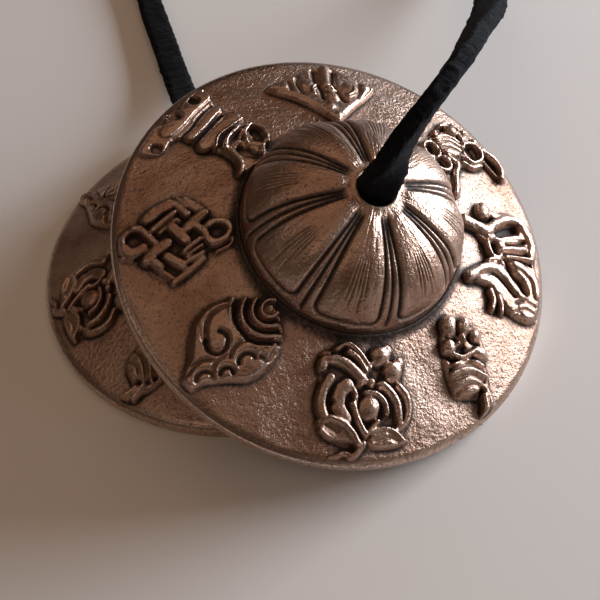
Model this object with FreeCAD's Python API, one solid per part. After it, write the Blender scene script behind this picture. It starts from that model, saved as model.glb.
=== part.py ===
import FreeCAD, Part
import math
import os
from FreeCAD import Base

# Tingsha: a pair of small cast bell-metal cymbals on one leather lace.
# The lace runs through the hole in each dome and is knotted inside it.
# One cymbal lies flat on its rim. The other leans on it: its low edge is on
# the ground and the lace, folded over the flat one's dome, is under its flange.
# Millimetres, +Z up, the ground is Z = 0.

# --- Casting: sizes along the cymbal's own axis, Z = 0 at the rim ------------
RIM_R = 32.5            # outer radius: a 65 mm pair
RIM_H = 2.2             # height of the outer edge
RIM_WEAR = 0.5          # the rim's edges, worn back
RING_R = (30.0, 28.8)   # inner edge of the ground ring, and top of its bevel
RING_RISE = 1.2         # height of that bevel
FOOT_R = 16.3           # where the dome stands on the flange
CROWN_ARC = 21.7        # radius of the dome's crown
CROWN_Z = -0.83         # height of the crown arc's centre
SHOULDER_ARC = 11.7     # radius of the dome's shoulder, tangent to the crown
SHOULDER_CUTS = 4       # straight cuts that the shoulder is turned in
DOME_WALL = 2.6
CORE_CUTS = 3           # straight cuts that the inside of the shoulder is cored in
FLANGE_WALL = 2.2
HOLE_R = 2.65
MOUTH_WEAR = (0.8, 0.9)  # the hole's edge, worn back by the lace: across, down
MOUTH_BREAK = (0.3, 0.35)  # where its two slopes meet, as shares of those

# Petals: eight, with a groove between each pair, from near the hole to near the foot
PETALS = 8
JOINT_TURN = 12.0       # compass of one groove
JOINT_RUN = (4.6, 15.6)  # its ends, distance from the axis
JOINT_WIDTH = (0.9, 2.3)  # its width there
JOINT_DEPTH = 0.45
JOINT_TOP = 4.0         # how far above the dome the cutter reaches

# Symbols in relief on the flange, seen from above. Each has its compass, the
# height of its body, the body's outline, and what stands higher on it: strips
# (width, points of the middle) and bosses (centre, radius).
SYMBOL_ROOT = 1.0       # how deep a symbol is rooted in the flange
STRIP_RISE = 1.15
BOSS_RISE = 1.35
BOSS_FLATS = 8
PARASOL = (
    91.0, 0.8,
    ((-10.2, 24.4), (-0.4, 30.4), (7.1, 26.3), (0.2, 17.6)),
    ((0.9, ((-0.2, 29.0), (-0.5, 20.0))),),
    (((-3.3, 24.5), 1.15), ((2.5, 24.6), 1.15)))
BANNER = (
    140.0, 0.5,
    ((-28.4, 12.8), (-24.5, 19.9), (-19.0, 24.2), (-14.2, 16.4),
     (-11.6, 14.2), (-15.3, 7.8), (-17.6, 12.0), (-24.5, 14.0)),
    ((1.8, ((-25.2, 15.3), (-18.5, 22.4))),
     (1.7, ((-22.6, 14.7), (-17.7, 20.0))),
     (1.8, ((-20.4, 13.0), (-15.2, 17.9))),
     (1.0, ((-17.6, 12.3), (-15.0, 16.2)))),
    (((-13.4, 14.2), 1.2),))
CONCH = (
    225.0, 0.9,
    ((-23.4, -21.9), (-22.4, -16.0), (-19.5, -11.8), (-14.5, -11.3),
     (-10.9, -13.4), (-10.3, -16.0), (-12.0, -20.3), (-15.5, -21.9)),
    ((0.9, ((-13.7, -10.9), (-15.4, -13.4), (-14.6, -16.0), (-12.0, -17.3))),
     (0.8, ((-20.3, -15.5), (-19.2, -12.9), (-17.0, -12.2)))),
    (((-12.3, -13.6), 1.2), ((-18.9, -16.4), 1.3)))
LOTUS = (
    272.0, 0.4,
    ((-5.6, -21.4), (-3.2, -17.6), (0.6, -19.4), (4.0, -17.2),
     (7.6, -22.0), (7.0, -28.4), (0.6, -31.2), (-5.6, -27.6)),
    ((1.3, ((-5.2, -20.6), (-2.8, -18.2), (0.8, -20.6))),
     (1.2, ((1.6, -20.4), (3.8, -17.8), (5.6, -19.6))),
     (1.5, ((-3.6, -21.6), (-5.2, -24.4), (-4.6, -27.0))),
     (1.2, ((3.2, -22.4), (5.9, -24.6), (6.2, -27.4))),
     (1.4, ((-4.8, -27.4), (0.0, -29.8))),
     (1.3, ((1.8, -29.0), (6.4, -29.0)))),
    (((1.5, -25.2), 2.0),))
VASE = (
    311.0, 0.4,
    ((11.4, -14.6), (14.0, -12.6), (18.4, -14.2), (20.2, -17.4),
     (20.6, -23.4), (18.6, -26.0), (14.0, -23.0), (12.4, -19.6)),
    ((1.0, ((12.6, -16.4), (17.2, -16.4))),
     (1.1, ((18.0, -22.6), (18.3, -25.6)))),
    (((12.9, -14.3), 1.2), ((15.8, -14.0), 1.1), ((16.4, -20.2), 2.8), ((19.0, -16.8), 1.1)))
FISHES = (
    354.0, 0.4,
    ((18.4, 2.6), (24.0, 6.4), (29.2, 5.6), (29.4, -2.0),
     (28.6, -10.2), (22.4, -8.8), (18.0, -6.2), (20.8, -2.6)),
    ((1.7, ((21.6, 4.8), (26.0, 6.0), (29.2, 3.4), (28.2, -1.0))),
     (1.5, ((17.8, 2.6), (23.2, 0.7))),
     (1.6, ((17.8, -6.0), (22.4, -3.8))),
     (2.2, ((21.6, -4.0), (27.2, -9.2))),
     (1.6, ((22.8, -1.0), (28.4, -4.6), (28.8, -7.4)))),
    (((25.4, 2.4), 1.6),))
RIBBON_VASE = (
    40.0, 0.4,
    ((13.2, 14.2), (15.6, 17.8), (18.2, 21.6), (22.8, 19.8),
     (26.8, 13.8), (20.6, 13.6), (16.2, 8.6)),
    ((1.0, ((16.8, 13.0), (16.2, 9.0))),
     (1.4, ((24.3, 17.2), (26.8, 13.6)))),
    (((18.0, 17.0), 2.6), ((18.9, 20.4), 1.2), ((14.6, 14.7), 1.5), ((22.2, 16.2), 1.7)))
SYMBOLS = (PARASOL, BANNER, CONCH, LOTUS, VASE, FISHES, RIBBON_VASE)

# Endless knot: bands crossing both ways, and a loop at each side
KNOT_AT = (-24.3, -1.8)
KNOT_SLANT = 43.0       # compass of one set of bands
KNOT_STEP = 2.9         # from band to band
KNOT_BAND = 1.35        # width of a band
KNOT_REACH = 4.3        # half a band's length
KNOT_LOOP = 2.2         # half a loop's width
KNOT_LOOP_AT = 5.3      # from the knot's middle to a loop's

# --- How the pair lies -------------------------------------------------------
FLAT_AT = (-6.22, 5.56)     # axis of the flat cymbal on the ground
FLAT_TURN = -78.0           # turn about its own axis
LEAN_AT = (7.28, -6.24)     # centre of the leaning cymbal's rim plane
LEAN_TILT = 24.07           # degrees from lying flat
LEAN_TO = -40.21            # compass of its low edge, degrees from +X
LEAN_TURN = -2.55           # turn about its own axis

# --- Lace --------------------------------------------------------------------
LACE_W = 4.9
LACE_T = 2.6
LACE_CORNER = 0.6       # how far its corners are cut back
JOINT_Z = 20.3          # along each axis: the lace's free run meets the knot's
FLAT_EXIT = 101.0       # compass in which the lace leaves the flat cymbal
EXIT_STEP = 1.45        # short runs where it folds over the dome
LEAN_WIDTH = -16.0      # compass of the lace's width in the leaning cymbal's own frame
BEND_SHARE = 0.45       # share of each run that a bend takes up
PLAIN_POINTS = 20       # from this point of its route on, the lace twists
ARC_STEP = 12.0         # degrees between sections of the twisted stretch
LEAN_STEP = 3.2         # first run out of the leaning cymbal
LACE_CLEAR = 0.05       # its corners just clear the ground
LACE_Z = LACE_T / 2 + LACE_CLEAR

# Knot: two turns of lace round the standing part, and a tail
KNOT_TOP = 16.9
KNOT_H = 4.2
KNOT_R = 5.0
KNOT_FLATS = 12
KNOT_SINK = 0.9         # the lower turn is pressed into the upper one
KNOT_TIP = 5.0          # degrees the upper turn is tipped; the lower, twice that
TAIL_LENGTH = 6.4
TAIL_LEAN = 40.0


def slide(shape, x=0.0, y=0.0, z=0.0):
    """Return the shape moved by x, y, z."""
    shape.translate(Base.Vector(x, y, z))
    return shape


def flange_z(r):
    """Height of the flange's upper face at radius r."""
    return RIM_H + flange_slope() * (RIM_R - r)


def shoulder_centre():
    """Centre (r, z) of the shoulder arc: tangent to the crown, upright at the foot."""
    r = FOOT_R - SHOULDER_ARC
    z = CROWN_Z + math.sqrt((CROWN_ARC - SHOULDER_ARC) ** 2 - r ** 2)
    return r, z


def flange_slope():
    """Rise of the flange per mm towards the dome."""
    return (shoulder_centre()[1] - RIM_H) / (RIM_R - FOOT_R)


def under_z(r):
    """Height of the flange's lower face at radius r."""
    thick = FLANGE_WALL / math.cos(math.atan(flange_slope()))
    return flange_z(r) - thick


def dome_edges(hole):
    """The dome's outer line from radius hole to its foot: start, edges, foot."""
    sr, sz = shoulder_centre()
    crown, shoulder = CROWN_ARC, SHOULDER_ARC
    join = math.atan2(sz - CROWN_Z, sr)
    start = math.acos(hole / crown)

    def on(radius, angle, r0, z0):
        return Base.Vector(r0 + radius * math.cos(angle), 0, z0 + radius * math.sin(angle))

    a = on(crown, start, 0, CROWN_Z)
    b = on(crown, (start + join) / 2, 0, CROWN_Z)
    turned = [on(shoulder, join * (1 - i / SHOULDER_CUTS), sr, sz) for i in range(SHOULDER_CUTS + 1)]
    edges = [Part.Arc(a, b, turned[0]).toShape()]
    edges += [Part.LineSegment(p, q).toShape() for p, q in zip(turned, turned[1:])]
    return a, edges, turned[-1]


def inner_dome():
    """Points of the dome's lower face, from the hole to its foot, as it is cored."""
    sr, sz = shoulder_centre()
    crown, shoulder = CROWN_ARC - DOME_WALL, SHOULDER_ARC - DOME_WALL
    join = math.atan2(sz - CROWN_Z, sr)
    points = []
    for angle in (math.acos(HOLE_R / crown), join):
        points.append(Base.Vector(crown * math.cos(angle), 0, CROWN_Z + crown * math.sin(angle)))
    for i in range(CORE_CUTS - 1, -1, -1):
        angle = join * i / CORE_CUTS
        points.append(Base.Vector(sr + shoulder * math.cos(angle), 0, sz + shoulder * math.sin(angle)))
    return points


def casting():
    """One cymbal: petalled dome, flange with its symbols, ground rim ring and the hole."""
    across, down = MOUTH_WEAR
    top_start, top, foot = dome_edges(HOLE_R + across)
    under = inner_dome()
    worn = RIM_WEAR * flange_slope()
    corners = [
        foot,
        Base.Vector(RIM_R - RIM_WEAR, 0, RIM_H + worn),
        Base.Vector(RIM_R, 0, RIM_H - RIM_WEAR),
        Base.Vector(RIM_R, 0, RIM_WEAR),
        Base.Vector(RIM_R - RIM_WEAR, 0, 0),
        Base.Vector(RING_R[0], 0, 0),
        Base.Vector(RING_R[1], 0, RING_RISE),
        Base.Vector(under[-1].x, 0, under_z(under[-1].x)),
        under[-1],
    ]
    mouth = [
        under[0],
        Base.Vector(HOLE_R, 0, top_start.z - down),
        Base.Vector(HOLE_R + across * MOUTH_BREAK[0], 0, top_start.z - down * MOUTH_BREAK[1]),
        top_start,
    ]
    edges = list(top)
    for line in (corners, under, mouth):
        edges += [Part.LineSegment(p, q).toShape() for p, q in zip(line, line[1:])]
    face = Part.Face(Part.Wire(Part.__sortEdges__(edges)))
    blank = face.revolve(Base.Vector(0, 0, 0), Base.Vector(0, 0, 1), 360)
    return blank.cut(petal_joints()).fuse(symbols()).removeSplitter()


def petal_joints():
    """Cutters of the grooves between the petals: wedges, down to JOINT_DEPTH under the dome."""
    start, line, foot = dome_edges(HOLE_R + MOUTH_WEAR[0])
    lower = slide(Part.Wire(line), z=-JOINT_DEPTH)
    first, last = lower.Vertexes[0].Point, lower.Vertexes[-1].Point
    top = start.z + JOINT_TOP
    rest = [last, Base.Vector(last.x, 0, top), Base.Vector(first.x, 0, top), first]
    edges = list(lower.Edges)
    edges += [Part.LineSegment(p, q).toShape() for p, q in zip(rest, rest[1:])]
    face = Part.Face(Part.Wire(Part.__sortEdges__(edges)))
    skin = face.revolve(Base.Vector(0, 0, 0), Base.Vector(0, 0, 1), 360)
    (r0, r1), (w0, w1) = JOINT_RUN, JOINT_WIDTH
    plan = [Base.Vector(r0, -w0 / 2, foot.z), Base.Vector(r1, -w1 / 2, foot.z),
            Base.Vector(r1, w1 / 2, foot.z), Base.Vector(r0, w0 / 2, foot.z)]
    wedge = Part.Face(Part.makePolygon(plan + plan[:1])).extrude(Base.Vector(0, 0, top - foot.z))
    cutters = []
    for i in range(PETALS):
        cutter = wedge.copy()
        cutter.rotate(Base.Vector(0, 0, 0), Base.Vector(0, 0, 1), JOINT_TURN + 360.0 * i / PETALS)
        cutters.append(cutter.common(skin))
    return cutters


def raised(outline, compass, rise):
    """A plate on the flange: its outline seen from above, its top along the slope at compass."""
    out = Base.Vector(math.cos(math.radians(compass)), math.sin(math.radians(compass)), 0)
    normal = unit(out * flange_slope() + Base.Vector(0, 0, 1))
    corners = []
    for x, y in outline:
        corners.append(Base.Vector(x, y, flange_z(x * out.x + y * out.y)) - normal * SYMBOL_ROOT)
    return Part.Face(Part.makePolygon(corners + corners[:1])).extrude(normal * (SYMBOL_ROOT + rise))


def strips(width, line, compass):
    """A band along a line seen from above: an oblong for each run, overlapping at the turns."""
    made = []
    for (ax, ay), (bx, by) in zip(line, line[1:]):
        size = math.hypot(bx - ax, by - ay)
        ux, uy = (bx - ax) / size * width / 2, (by - ay) / size * width / 2
        outline = ((ax - ux + uy, ay - uy - ux), (bx + ux + uy, by + uy - ux),
                   (bx + ux - uy, by + uy + ux), (ax - ux - uy, ay - uy + ux))
        made.append(raised(outline, compass, STRIP_RISE))
    return made


def boss(centre, radius, compass):
    """A round boss, as a prism of flats."""
    outline = []
    for i in range(BOSS_FLATS):
        a = 2 * math.pi * (i + 0.5) / BOSS_FLATS
        outline.append((centre[0] + radius * math.cos(a), centre[1] + radius * math.sin(a)))
    return raised(outline, compass, BOSS_RISE)


def endless_knot():
    """The endless knot: three bands each way, crossing, and a loop at each side."""
    compass = math.degrees(math.atan2(KNOT_AT[1], KNOT_AT[0]))
    made = []
    for slant in (KNOT_SLANT, KNOT_SLANT + 90):
        dx, dy = math.cos(math.radians(slant)), math.sin(math.radians(slant))
        for i in (-1, 0, 1):
            x, y = KNOT_AT[0] - dy * KNOT_STEP * i, KNOT_AT[1] + dx * KNOT_STEP * i
            run = ((x - dx * KNOT_REACH, y - dy * KNOT_REACH), (x + dx * KNOT_REACH, y + dy * KNOT_REACH))
            made += strips(KNOT_BAND, run, compass)
    y, half = KNOT_AT[1], KNOT_LOOP
    for x in (KNOT_AT[0] - KNOT_LOOP_AT, KNOT_AT[0] + KNOT_LOOP_AT):
        loop = ((x - half, y), (x, y + half), (x + half, y), (x, y - half))
        made.append(raised(loop, compass, STRIP_RISE))
    return made


def symbols():
    """The eight symbols in relief, rooted in the flange."""
    made = [fused(endless_knot())]
    for compass, rise, outline, bands, bosses in SYMBOLS:
        plates = [raised(outline, compass, rise)]
        for width, line in bands:
            plates += strips(width, line, compass)
        for centre, radius in bosses:
            plates.append(boss(centre, radius, compass))
        made.append(fused(plates))
    return made


def fused(shapes):
    """The shapes as one solid."""
    return shapes[0].fuse(shapes[1:]).removeSplitter()


def lace_section(centre, along, wide):
    """Closed outline of the lace across the direction along, its corners cut off."""
    thick = along.cross(wide)
    w, t, c = LACE_W / 2, LACE_T / 2, LACE_CORNER
    outline = []
    for a, b in ((w, t - c), (w - c, t), (c - w, t), (-w, t - c),
                 (-w, c - t), (c - w, -t), (w - c, -t), (w, c - t)):
        outline.append(centre + wide * a + thick * b)
    return Part.makePolygon(outline + outline[:1])


def knot(wide_turn):
    """Knot and stub of one end of the lace, on the cymbal's own axis.

    Two turns of the lace, tipped opposite ways, round the standing part, and
    the tail. The lace's width lies at wide_turn degrees about the axis.
    """
    angle = math.radians(wide_turn)
    wide = Base.Vector(math.cos(angle), math.sin(angle), 0)
    up = Base.Vector(0, 0, 1)
    foot = Base.Vector(0, 0, KNOT_TOP - KNOT_H)
    body = Part.Face(lace_section(foot, up, wide)).extrude(up * (JOINT_Z - foot.z))
    tail = Part.Face(lace_section(foot, up, wide)).extrude(up * -TAIL_LENGTH)
    tail.rotate(foot, up.cross(wide), TAIL_LEAN)
    turns = [tail]
    for level, tip in enumerate((KNOT_TIP, -2 * KNOT_TIP)):
        turn = knot_turn()
        turn.rotate(Base.Vector(0, 0, 0), wide, tip)
        turns.append(slide(turn, z=KNOT_TOP - KNOT_H * (level + 0.5) + level * KNOT_SINK))
    return body.fuse(turns).removeSplitter()


def knot_turn():
    """One turn of the lace about the axis, a drum of flats with its edges cut back."""
    h = KNOT_H / 2
    rings = []
    for r, z in ((KNOT_R - 2 * LACE_CORNER, -h), (KNOT_R, LACE_CORNER - h), (KNOT_R, h - LACE_CORNER),
                 (KNOT_R - 2 * LACE_CORNER, h)):
        corners = []
        for i in range(KNOT_FLATS + 1):
            a = 2 * math.pi * i / KNOT_FLATS
            corners.append(Base.Vector(r * math.cos(a), r * math.sin(a), z))
        rings.append(Part.makePolygon(corners))
    return Part.makeLoft(rings, True, True)


def lean_place():
    """Placement of the leaning cymbal."""
    tilt_axis = Base.Vector(-math.sin(math.radians(LEAN_TO)), math.cos(math.radians(LEAN_TO)), 0)
    turn = Base.Rotation(tilt_axis, LEAN_TILT) * Base.Rotation(Base.Vector(0, 0, 1), LEAN_TURN)
    sin = math.sin(math.radians(LEAN_TILT))
    height = (RIM_R - RIM_WEAR) * sin
    return Base.Placement(Base.Vector(LEAN_AT[0], LEAN_AT[1], height), turn)


def flat_place(turn=0.0):
    """Placement of the flat cymbal's axis, turned about it."""
    return Base.Placement(Base.Vector(FLAT_AT[0], FLAT_AT[1], 0), Base.Rotation(Base.Vector(0, 0, 1), turn))


def lace_route():
    """Points of the lace's free length, from the flat cymbal to the leaning one."""
    place = flat_place()
    out = Base.Vector(math.cos(math.radians(FLAT_EXIT)), math.sin(math.radians(FLAT_EXIT)), 0)
    start = place.multVec(Base.Vector(0, 0, JOINT_Z))
    points = [start]
    for climb in (90, 60, 30):
        step = out * math.cos(math.radians(climb)) + Base.Vector(0, 0, math.sin(math.radians(climb)))
        points.append(points[-1] + step * EXIT_STEP)
    top = points[-1].z
    # over the dome's shoulder and down past the rim: (distance from the axis, height)
    for away, z in ((4.9, top), (10.2, 21.4), (18.6, 14.6), (31.2, 6.4), (42.0, 2.3)):
        points.append(Base.Vector(start.x + out.x * away, start.y + out.y * away, z))
    # along the ground behind the pair, one wide loop
    for x, y in ((-16.4, 60.5), (-19.6, 78.0), (-21.0, 97.0), (-16.5, 114.5), (-4.0, 127.5),
                 (13.0, 132.5), (30.0, 128.5), (42.0, 116.0), (47.0, 99.5)):
        points.append(Base.Vector(x, y, LACE_Z))
    # up from the ground, over the leaning cymbal's back edge and into its hole
    for x, y, z in ((46.6, 83.0, 2.3), (44.9, 66.5, 7.9), (42.6, 51.0, 15.0), (40.1, 36.5, 22.3),
                    (37.1, 24.5, 28.3), (32.8, 13.0, 34.9), (30.0, 5.8, 39.1), (28.3, 0.9, 41.8),
                    (26.0, -3.6, 43.5), (22.7, -7.8, 43.6), (19.2, -10.8, 41.9), (16.1, -12.3, 38.4)):
        points.append(Base.Vector(x, y, z))
    place = lean_place()
    end = place.multVec(Base.Vector(0, 0, JOINT_Z))
    axis = place.Rotation.multVec(Base.Vector(0, 0, 1))
    points.append(end + axis * LEAN_STEP)
    points.append(end)
    return points


def unit(vector):
    """The vector at length 1."""
    return vector / vector.Length


def lace_bends(points):
    """For each inner point: arc start, middle, end and radius."""
    bends = []
    for before, point, after in zip(points, points[1:], points[2:]):
        back, on = unit(before - point), unit(after - point)
        half = (math.pi - back.getAngle(on)) / 2
        cut = BEND_SHARE * min((before - point).Length, (after - point).Length)
        radius = cut / math.tan(half)
        mid = point + unit(back + on) * (radius / math.cos(half) - radius)
        bends.append((point + back * cut, mid, point + on * cut, radius))
    return bends


def lace_path(points, bends):
    """Straight runs joined by tangent arcs, as one wire."""
    edges = []
    last = points[0]
    for first, mid, second, radius in bends:
        edges.append(Part.LineSegment(last, first).toShape())
        edges.append(Part.Arc(first, mid, second).toShape())
        last = second
    edges.append(Part.LineSegment(last, points[-1]).toShape())
    return Part.Wire(edges)


def carry(wide, before, after):
    """The width direction, carried from one direction of travel to the next."""
    axis = before.cross(after)
    if axis.Length < 1e-9:
        return wide
    return Base.Rotation(axis, math.degrees(before.getAngle(after))).multVec(wide)


def flat_width():
    """Width direction of the lace where it leaves the flat cymbal."""
    angle = math.radians(FLAT_EXIT + 90)
    return Base.Vector(math.cos(angle), math.sin(angle), 0)


def lean_width():
    """Width direction of the lace where it enters the leaning cymbal."""
    angle = math.radians(LEAN_WIDTH)
    return lean_place().Rotation.multVec(Base.Vector(math.cos(angle), math.sin(angle), 0))


def twisted_run(points, wide, last_wide):
    """The lace's last stretch: sections along its path, turned steadily to last_wide."""
    places = [(points[0], unit(points[1] - points[0]))]
    for before, point, after, bend in zip(points, points[1:], points[2:], lace_bends(points)):
        centre = bend[1] + unit(bend[1] - point) * bend[3]
        spoke, last_spoke = bend[0] - centre, bend[2] - centre
        axis = spoke.cross(last_spoke)
        angle = spoke.getAngle(last_spoke)
        steps = max(1, math.ceil(math.degrees(angle) / ARC_STEP))
        for i in range(steps + 1):
            turn = Base.Rotation(axis, math.degrees(angle) * i / steps)
            places.append((centre + turn.multVec(spoke), turn.multVec(unit(point - before))))
    places.append((points[-1], unit(points[-1] - points[-2])))
    run = [0.0]
    carried = [wide]
    for (p, t), (q, u) in zip(places, places[1:]):
        run.append(run[-1] + (q - p).Length)
        carried.append(carry(carried[-1], t, u))
    along = places[-1][1]
    twist = math.atan2(carried[-1].cross(last_wide).dot(along), carried[-1].dot(last_wide))
    sections = []
    for (p, t), w, s in zip(places, carried, run):
        turn = Base.Rotation(t, math.degrees(twist) * s / run[-1])
        sections.append(lace_section(p, t, turn.multVec(w)))
    print("lace: twisted %.0f degrees over %.0f mm" % (math.degrees(twist), run[-1]))
    return Part.makeLoft(sections, True, True)


def lace():
    """The lace's free length as one closed tube: plain, then twisted into the hole."""
    points = lace_route()
    bends = lace_bends(points)
    print("lace: arc radii", " ".join("%.1f" % bend[3] for bend in bends))
    k = PLAIN_POINTS
    halfway = (points[k - 1] + points[k]) / 2
    plain = points[:k] + [halfway]
    path = lace_path(plain, bends[:k - 1])
    wide = flat_width()
    section = lace_section(points[0], unit(points[1] - points[0]), wide)
    tube = path.makePipeShell([section], True, False)
    for before, point, after in zip(plain, plain[1:], plain[2:]):
        wide = carry(wide, unit(point - before), unit(after - point))
    end = twisted_run([halfway] + points[k:], wide, lean_width())
    whole = tube.fuse(end).removeSplitter()
    length = lace_path(points, bends).Length
    area = Part.Face(section).Area
    print("lace: length %.1f, volume %.1f against %.1f" % (length, whole.Volume, area * length))
    return whole


def main():
    """Write one file per piece."""
    os.makedirs("parts", exist_ok=True)
    pieces = {
        "rear_cymbal": (casting(), flat_place(FLAT_TURN)),
        "front_cymbal": (casting(), lean_place()),
        "rear_knot": (knot(FLAT_EXIT + 90), flat_place()),
        "front_knot": (knot(LEAN_WIDTH), lean_place()),
        "strap": (lace(), Base.Placement()),
    }
    for name, (shape, place) in pieces.items():
        shape.Placement = place.multiply(shape.Placement)
        shape.exportStep("parts/%s.step" % name)
        box = shape.BoundBox
        print("%s: %.0f cubic mm, X %.2f to %.2f, Y %.2f to %.2f, Z %.2f to %.2f" % (
            name, shape.Volume, box.XMin, box.XMax, box.YMin, box.YMax, box.ZMin, box.ZMax))


main()
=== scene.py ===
"""Tingsha: two small cast bell-metal cymbals on one leather lace, knotted inside each dome.

One cymbal lies flat on its rim and the other leans on it. Each is one casting: a dome cut into
eight petals, a sloping flange with eight symbols in relief, and a ground rim. Sizes are in
millimetres in the cymbals' own frames and are made metres as each mesh is written.
"""

import logging
import math
from dataclasses import dataclass
from enum import Enum

import bpy
import numpy as np
from mathutils import Matrix

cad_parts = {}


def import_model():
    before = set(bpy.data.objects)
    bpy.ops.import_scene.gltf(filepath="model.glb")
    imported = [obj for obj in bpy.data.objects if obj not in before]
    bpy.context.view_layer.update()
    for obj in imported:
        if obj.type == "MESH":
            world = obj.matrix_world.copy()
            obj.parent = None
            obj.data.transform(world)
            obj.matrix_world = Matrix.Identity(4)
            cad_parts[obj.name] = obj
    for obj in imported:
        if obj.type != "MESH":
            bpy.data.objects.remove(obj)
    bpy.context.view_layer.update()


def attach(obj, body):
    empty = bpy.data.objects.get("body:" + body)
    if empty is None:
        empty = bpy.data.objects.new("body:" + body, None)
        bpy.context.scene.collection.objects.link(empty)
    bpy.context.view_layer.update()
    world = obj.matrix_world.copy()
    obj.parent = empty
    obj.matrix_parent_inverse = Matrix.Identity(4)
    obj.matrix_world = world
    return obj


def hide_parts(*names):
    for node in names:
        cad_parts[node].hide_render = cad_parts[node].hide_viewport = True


MM = 0.001
LOG = logging.getLogger("tingsha")

Point = tuple[float, float]
Colour = tuple[float, float, float]


# --- Arrays -------------------------------------------------------------------


def ease(low: float, high: float, value: np.ndarray) -> np.ndarray:
    """Rise smoothly from 0 at low to 1 at high: three squares less two cubes of the share between.

    Args:
        low: Where the rise starts.
        high: Where it ends.
        value: The values to look up.

    Returns:
        An array of shares from 0 to 1.
    """
    share = np.clip((value - low) / (high - low), 0.0, 1.0)
    return share * share * (3.0 - 2.0 * share)


def bell(value: np.ndarray, width: float | np.ndarray) -> np.ndarray:
    """Return 1 at value 0, falling off as the exponential of minus the square of value over width."""
    return np.exp(-((value / width) ** 2))


def soften(field: np.ndarray, step: float, size: float) -> np.ndarray:
    """Blur a field that repeats at its edges by a Gaussian, as a product of its spectrum.

    Args:
        field: Rows and columns of values.
        step: Distance between neighbours.
        size: The Gaussian's standard deviation.

    Returns:
        The blurred field.
    """
    down = np.fft.fftfreq(field.shape[0], step)[:, None]
    along = np.fft.rfftfreq(field.shape[1], step)[None, :]
    keep = np.exp(-2.0 * (math.pi * size) ** 2 * (down**2 + along**2))
    return np.fft.irfft2(np.fft.rfft2(field) * keep, s=field.shape)


def cloud(shape: tuple[int, int], step: float, size: float, seed: int) -> np.ndarray:
    """Make smooth random relief: white noise blurred to lumps of one size, scaled to unit spread.

    Args:
        shape: Rows and columns.
        step: Distance between neighbours.
        size: The lumps' size.
        seed: Seed of the noise.

    Returns:
        The field, repeating at its edges.
    """
    noise = soften(np.random.default_rng(seed).standard_normal(shape), step, size)
    return (noise - noise.mean()) / noise.std()


def smooth_line(points: tuple[Point, ...], closed: bool, steps: int = 7) -> np.ndarray:
    """Draw a Catmull-Rom curve through points: each span is a cubic whose ends aim at the neighbours.

    Args:
        points: The points, in order.
        closed: Whether the last joins the first.
        steps: Samples per span.

    Returns:
        Samples, n by 2.
    """
    p = np.array(points, float)
    if closed:
        padded = np.concatenate([p[-1:], p, p[:2]])
    else:
        padded = np.concatenate([2 * p[:1] - p[1:2], p, 2 * p[-1:] - p[-2:-1]])
    a, b, c, d = (padded[i : len(padded) - 3 + i, None, :] for i in range(4))
    t = (np.arange(steps) / steps)[None, :, None]
    spans = 0.5 * (2 * b + (c - a) * t + (2 * a - 5 * b + 4 * c - d) * t**2 + (3 * b - a - 3 * c + d) * t**3)
    return np.concatenate([spans.reshape(-1, 2), p[:1] if closed else p[-1:]])


def line_distance(x: np.ndarray, y: np.ndarray, line: np.ndarray) -> tuple[np.ndarray, np.ndarray]:
    """Measure each grid point to a polyline: the least distance to any of its segments.

    Args:
        x: Grid of x.
        y: Grid of y.
        line: The polyline's points, n by 2.

    Returns:
        The distance, and the share of the line's length at the nearest place.
    """
    best = np.full(x.shape, np.inf)
    share = np.zeros(x.shape)
    steps = np.diff(line, axis=0)
    sizes = np.maximum(np.hypot(steps[:, 0], steps[:, 1]), 1e-9)
    run = np.concatenate([[0.0], np.cumsum(sizes)])
    for (ax, ay), (dx, dy), size, before in zip(line[:-1], steps, sizes, run):
        t = np.clip(((x - ax) * dx + (y - ay) * dy) / size**2, 0.0, 1.0)
        away = np.hypot(x - ax - t * dx, y - ay - t * dy)
        closer = away < best
        best = np.where(closer, away, best)
        share = np.where(closer, (before + t * size) / run[-1], share)
    return best, share


def inside(x: np.ndarray, y: np.ndarray, line: np.ndarray) -> np.ndarray:
    """Tell which grid points a closed polyline goes round, by the parity of its crossings.

    Args:
        x: Grid of x.
        y: Grid of y.
        line: The closed polyline's points, n by 2.

    Returns:
        True where the point is inside.
    """
    odd = np.zeros(x.shape, bool)
    for (ax, ay), (bx, by) in zip(line[:-1], line[1:]):
        if ay != by:
            crosses = (ay > y) != (by > y)
            odd ^= crosses & (x < ax + (y - ay) * (bx - ax) / (by - ay))
    return odd


def unit(vectors: np.ndarray) -> np.ndarray:
    """Return the vectors at length 1."""
    return vectors / np.maximum(np.linalg.norm(vectors, axis=-1, keepdims=True), 1e-12)


def turned(vectors: np.ndarray, axes: np.ndarray, angles: np.ndarray) -> np.ndarray:
    """Turn vectors about unit axes at right angles to them: cosine of each plus sine of axis cross it."""
    return vectors * np.cos(angles)[:, None] + np.cross(axes, vectors) * np.sin(angles)[:, None]


# --- Meshes -------------------------------------------------------------------


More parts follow.
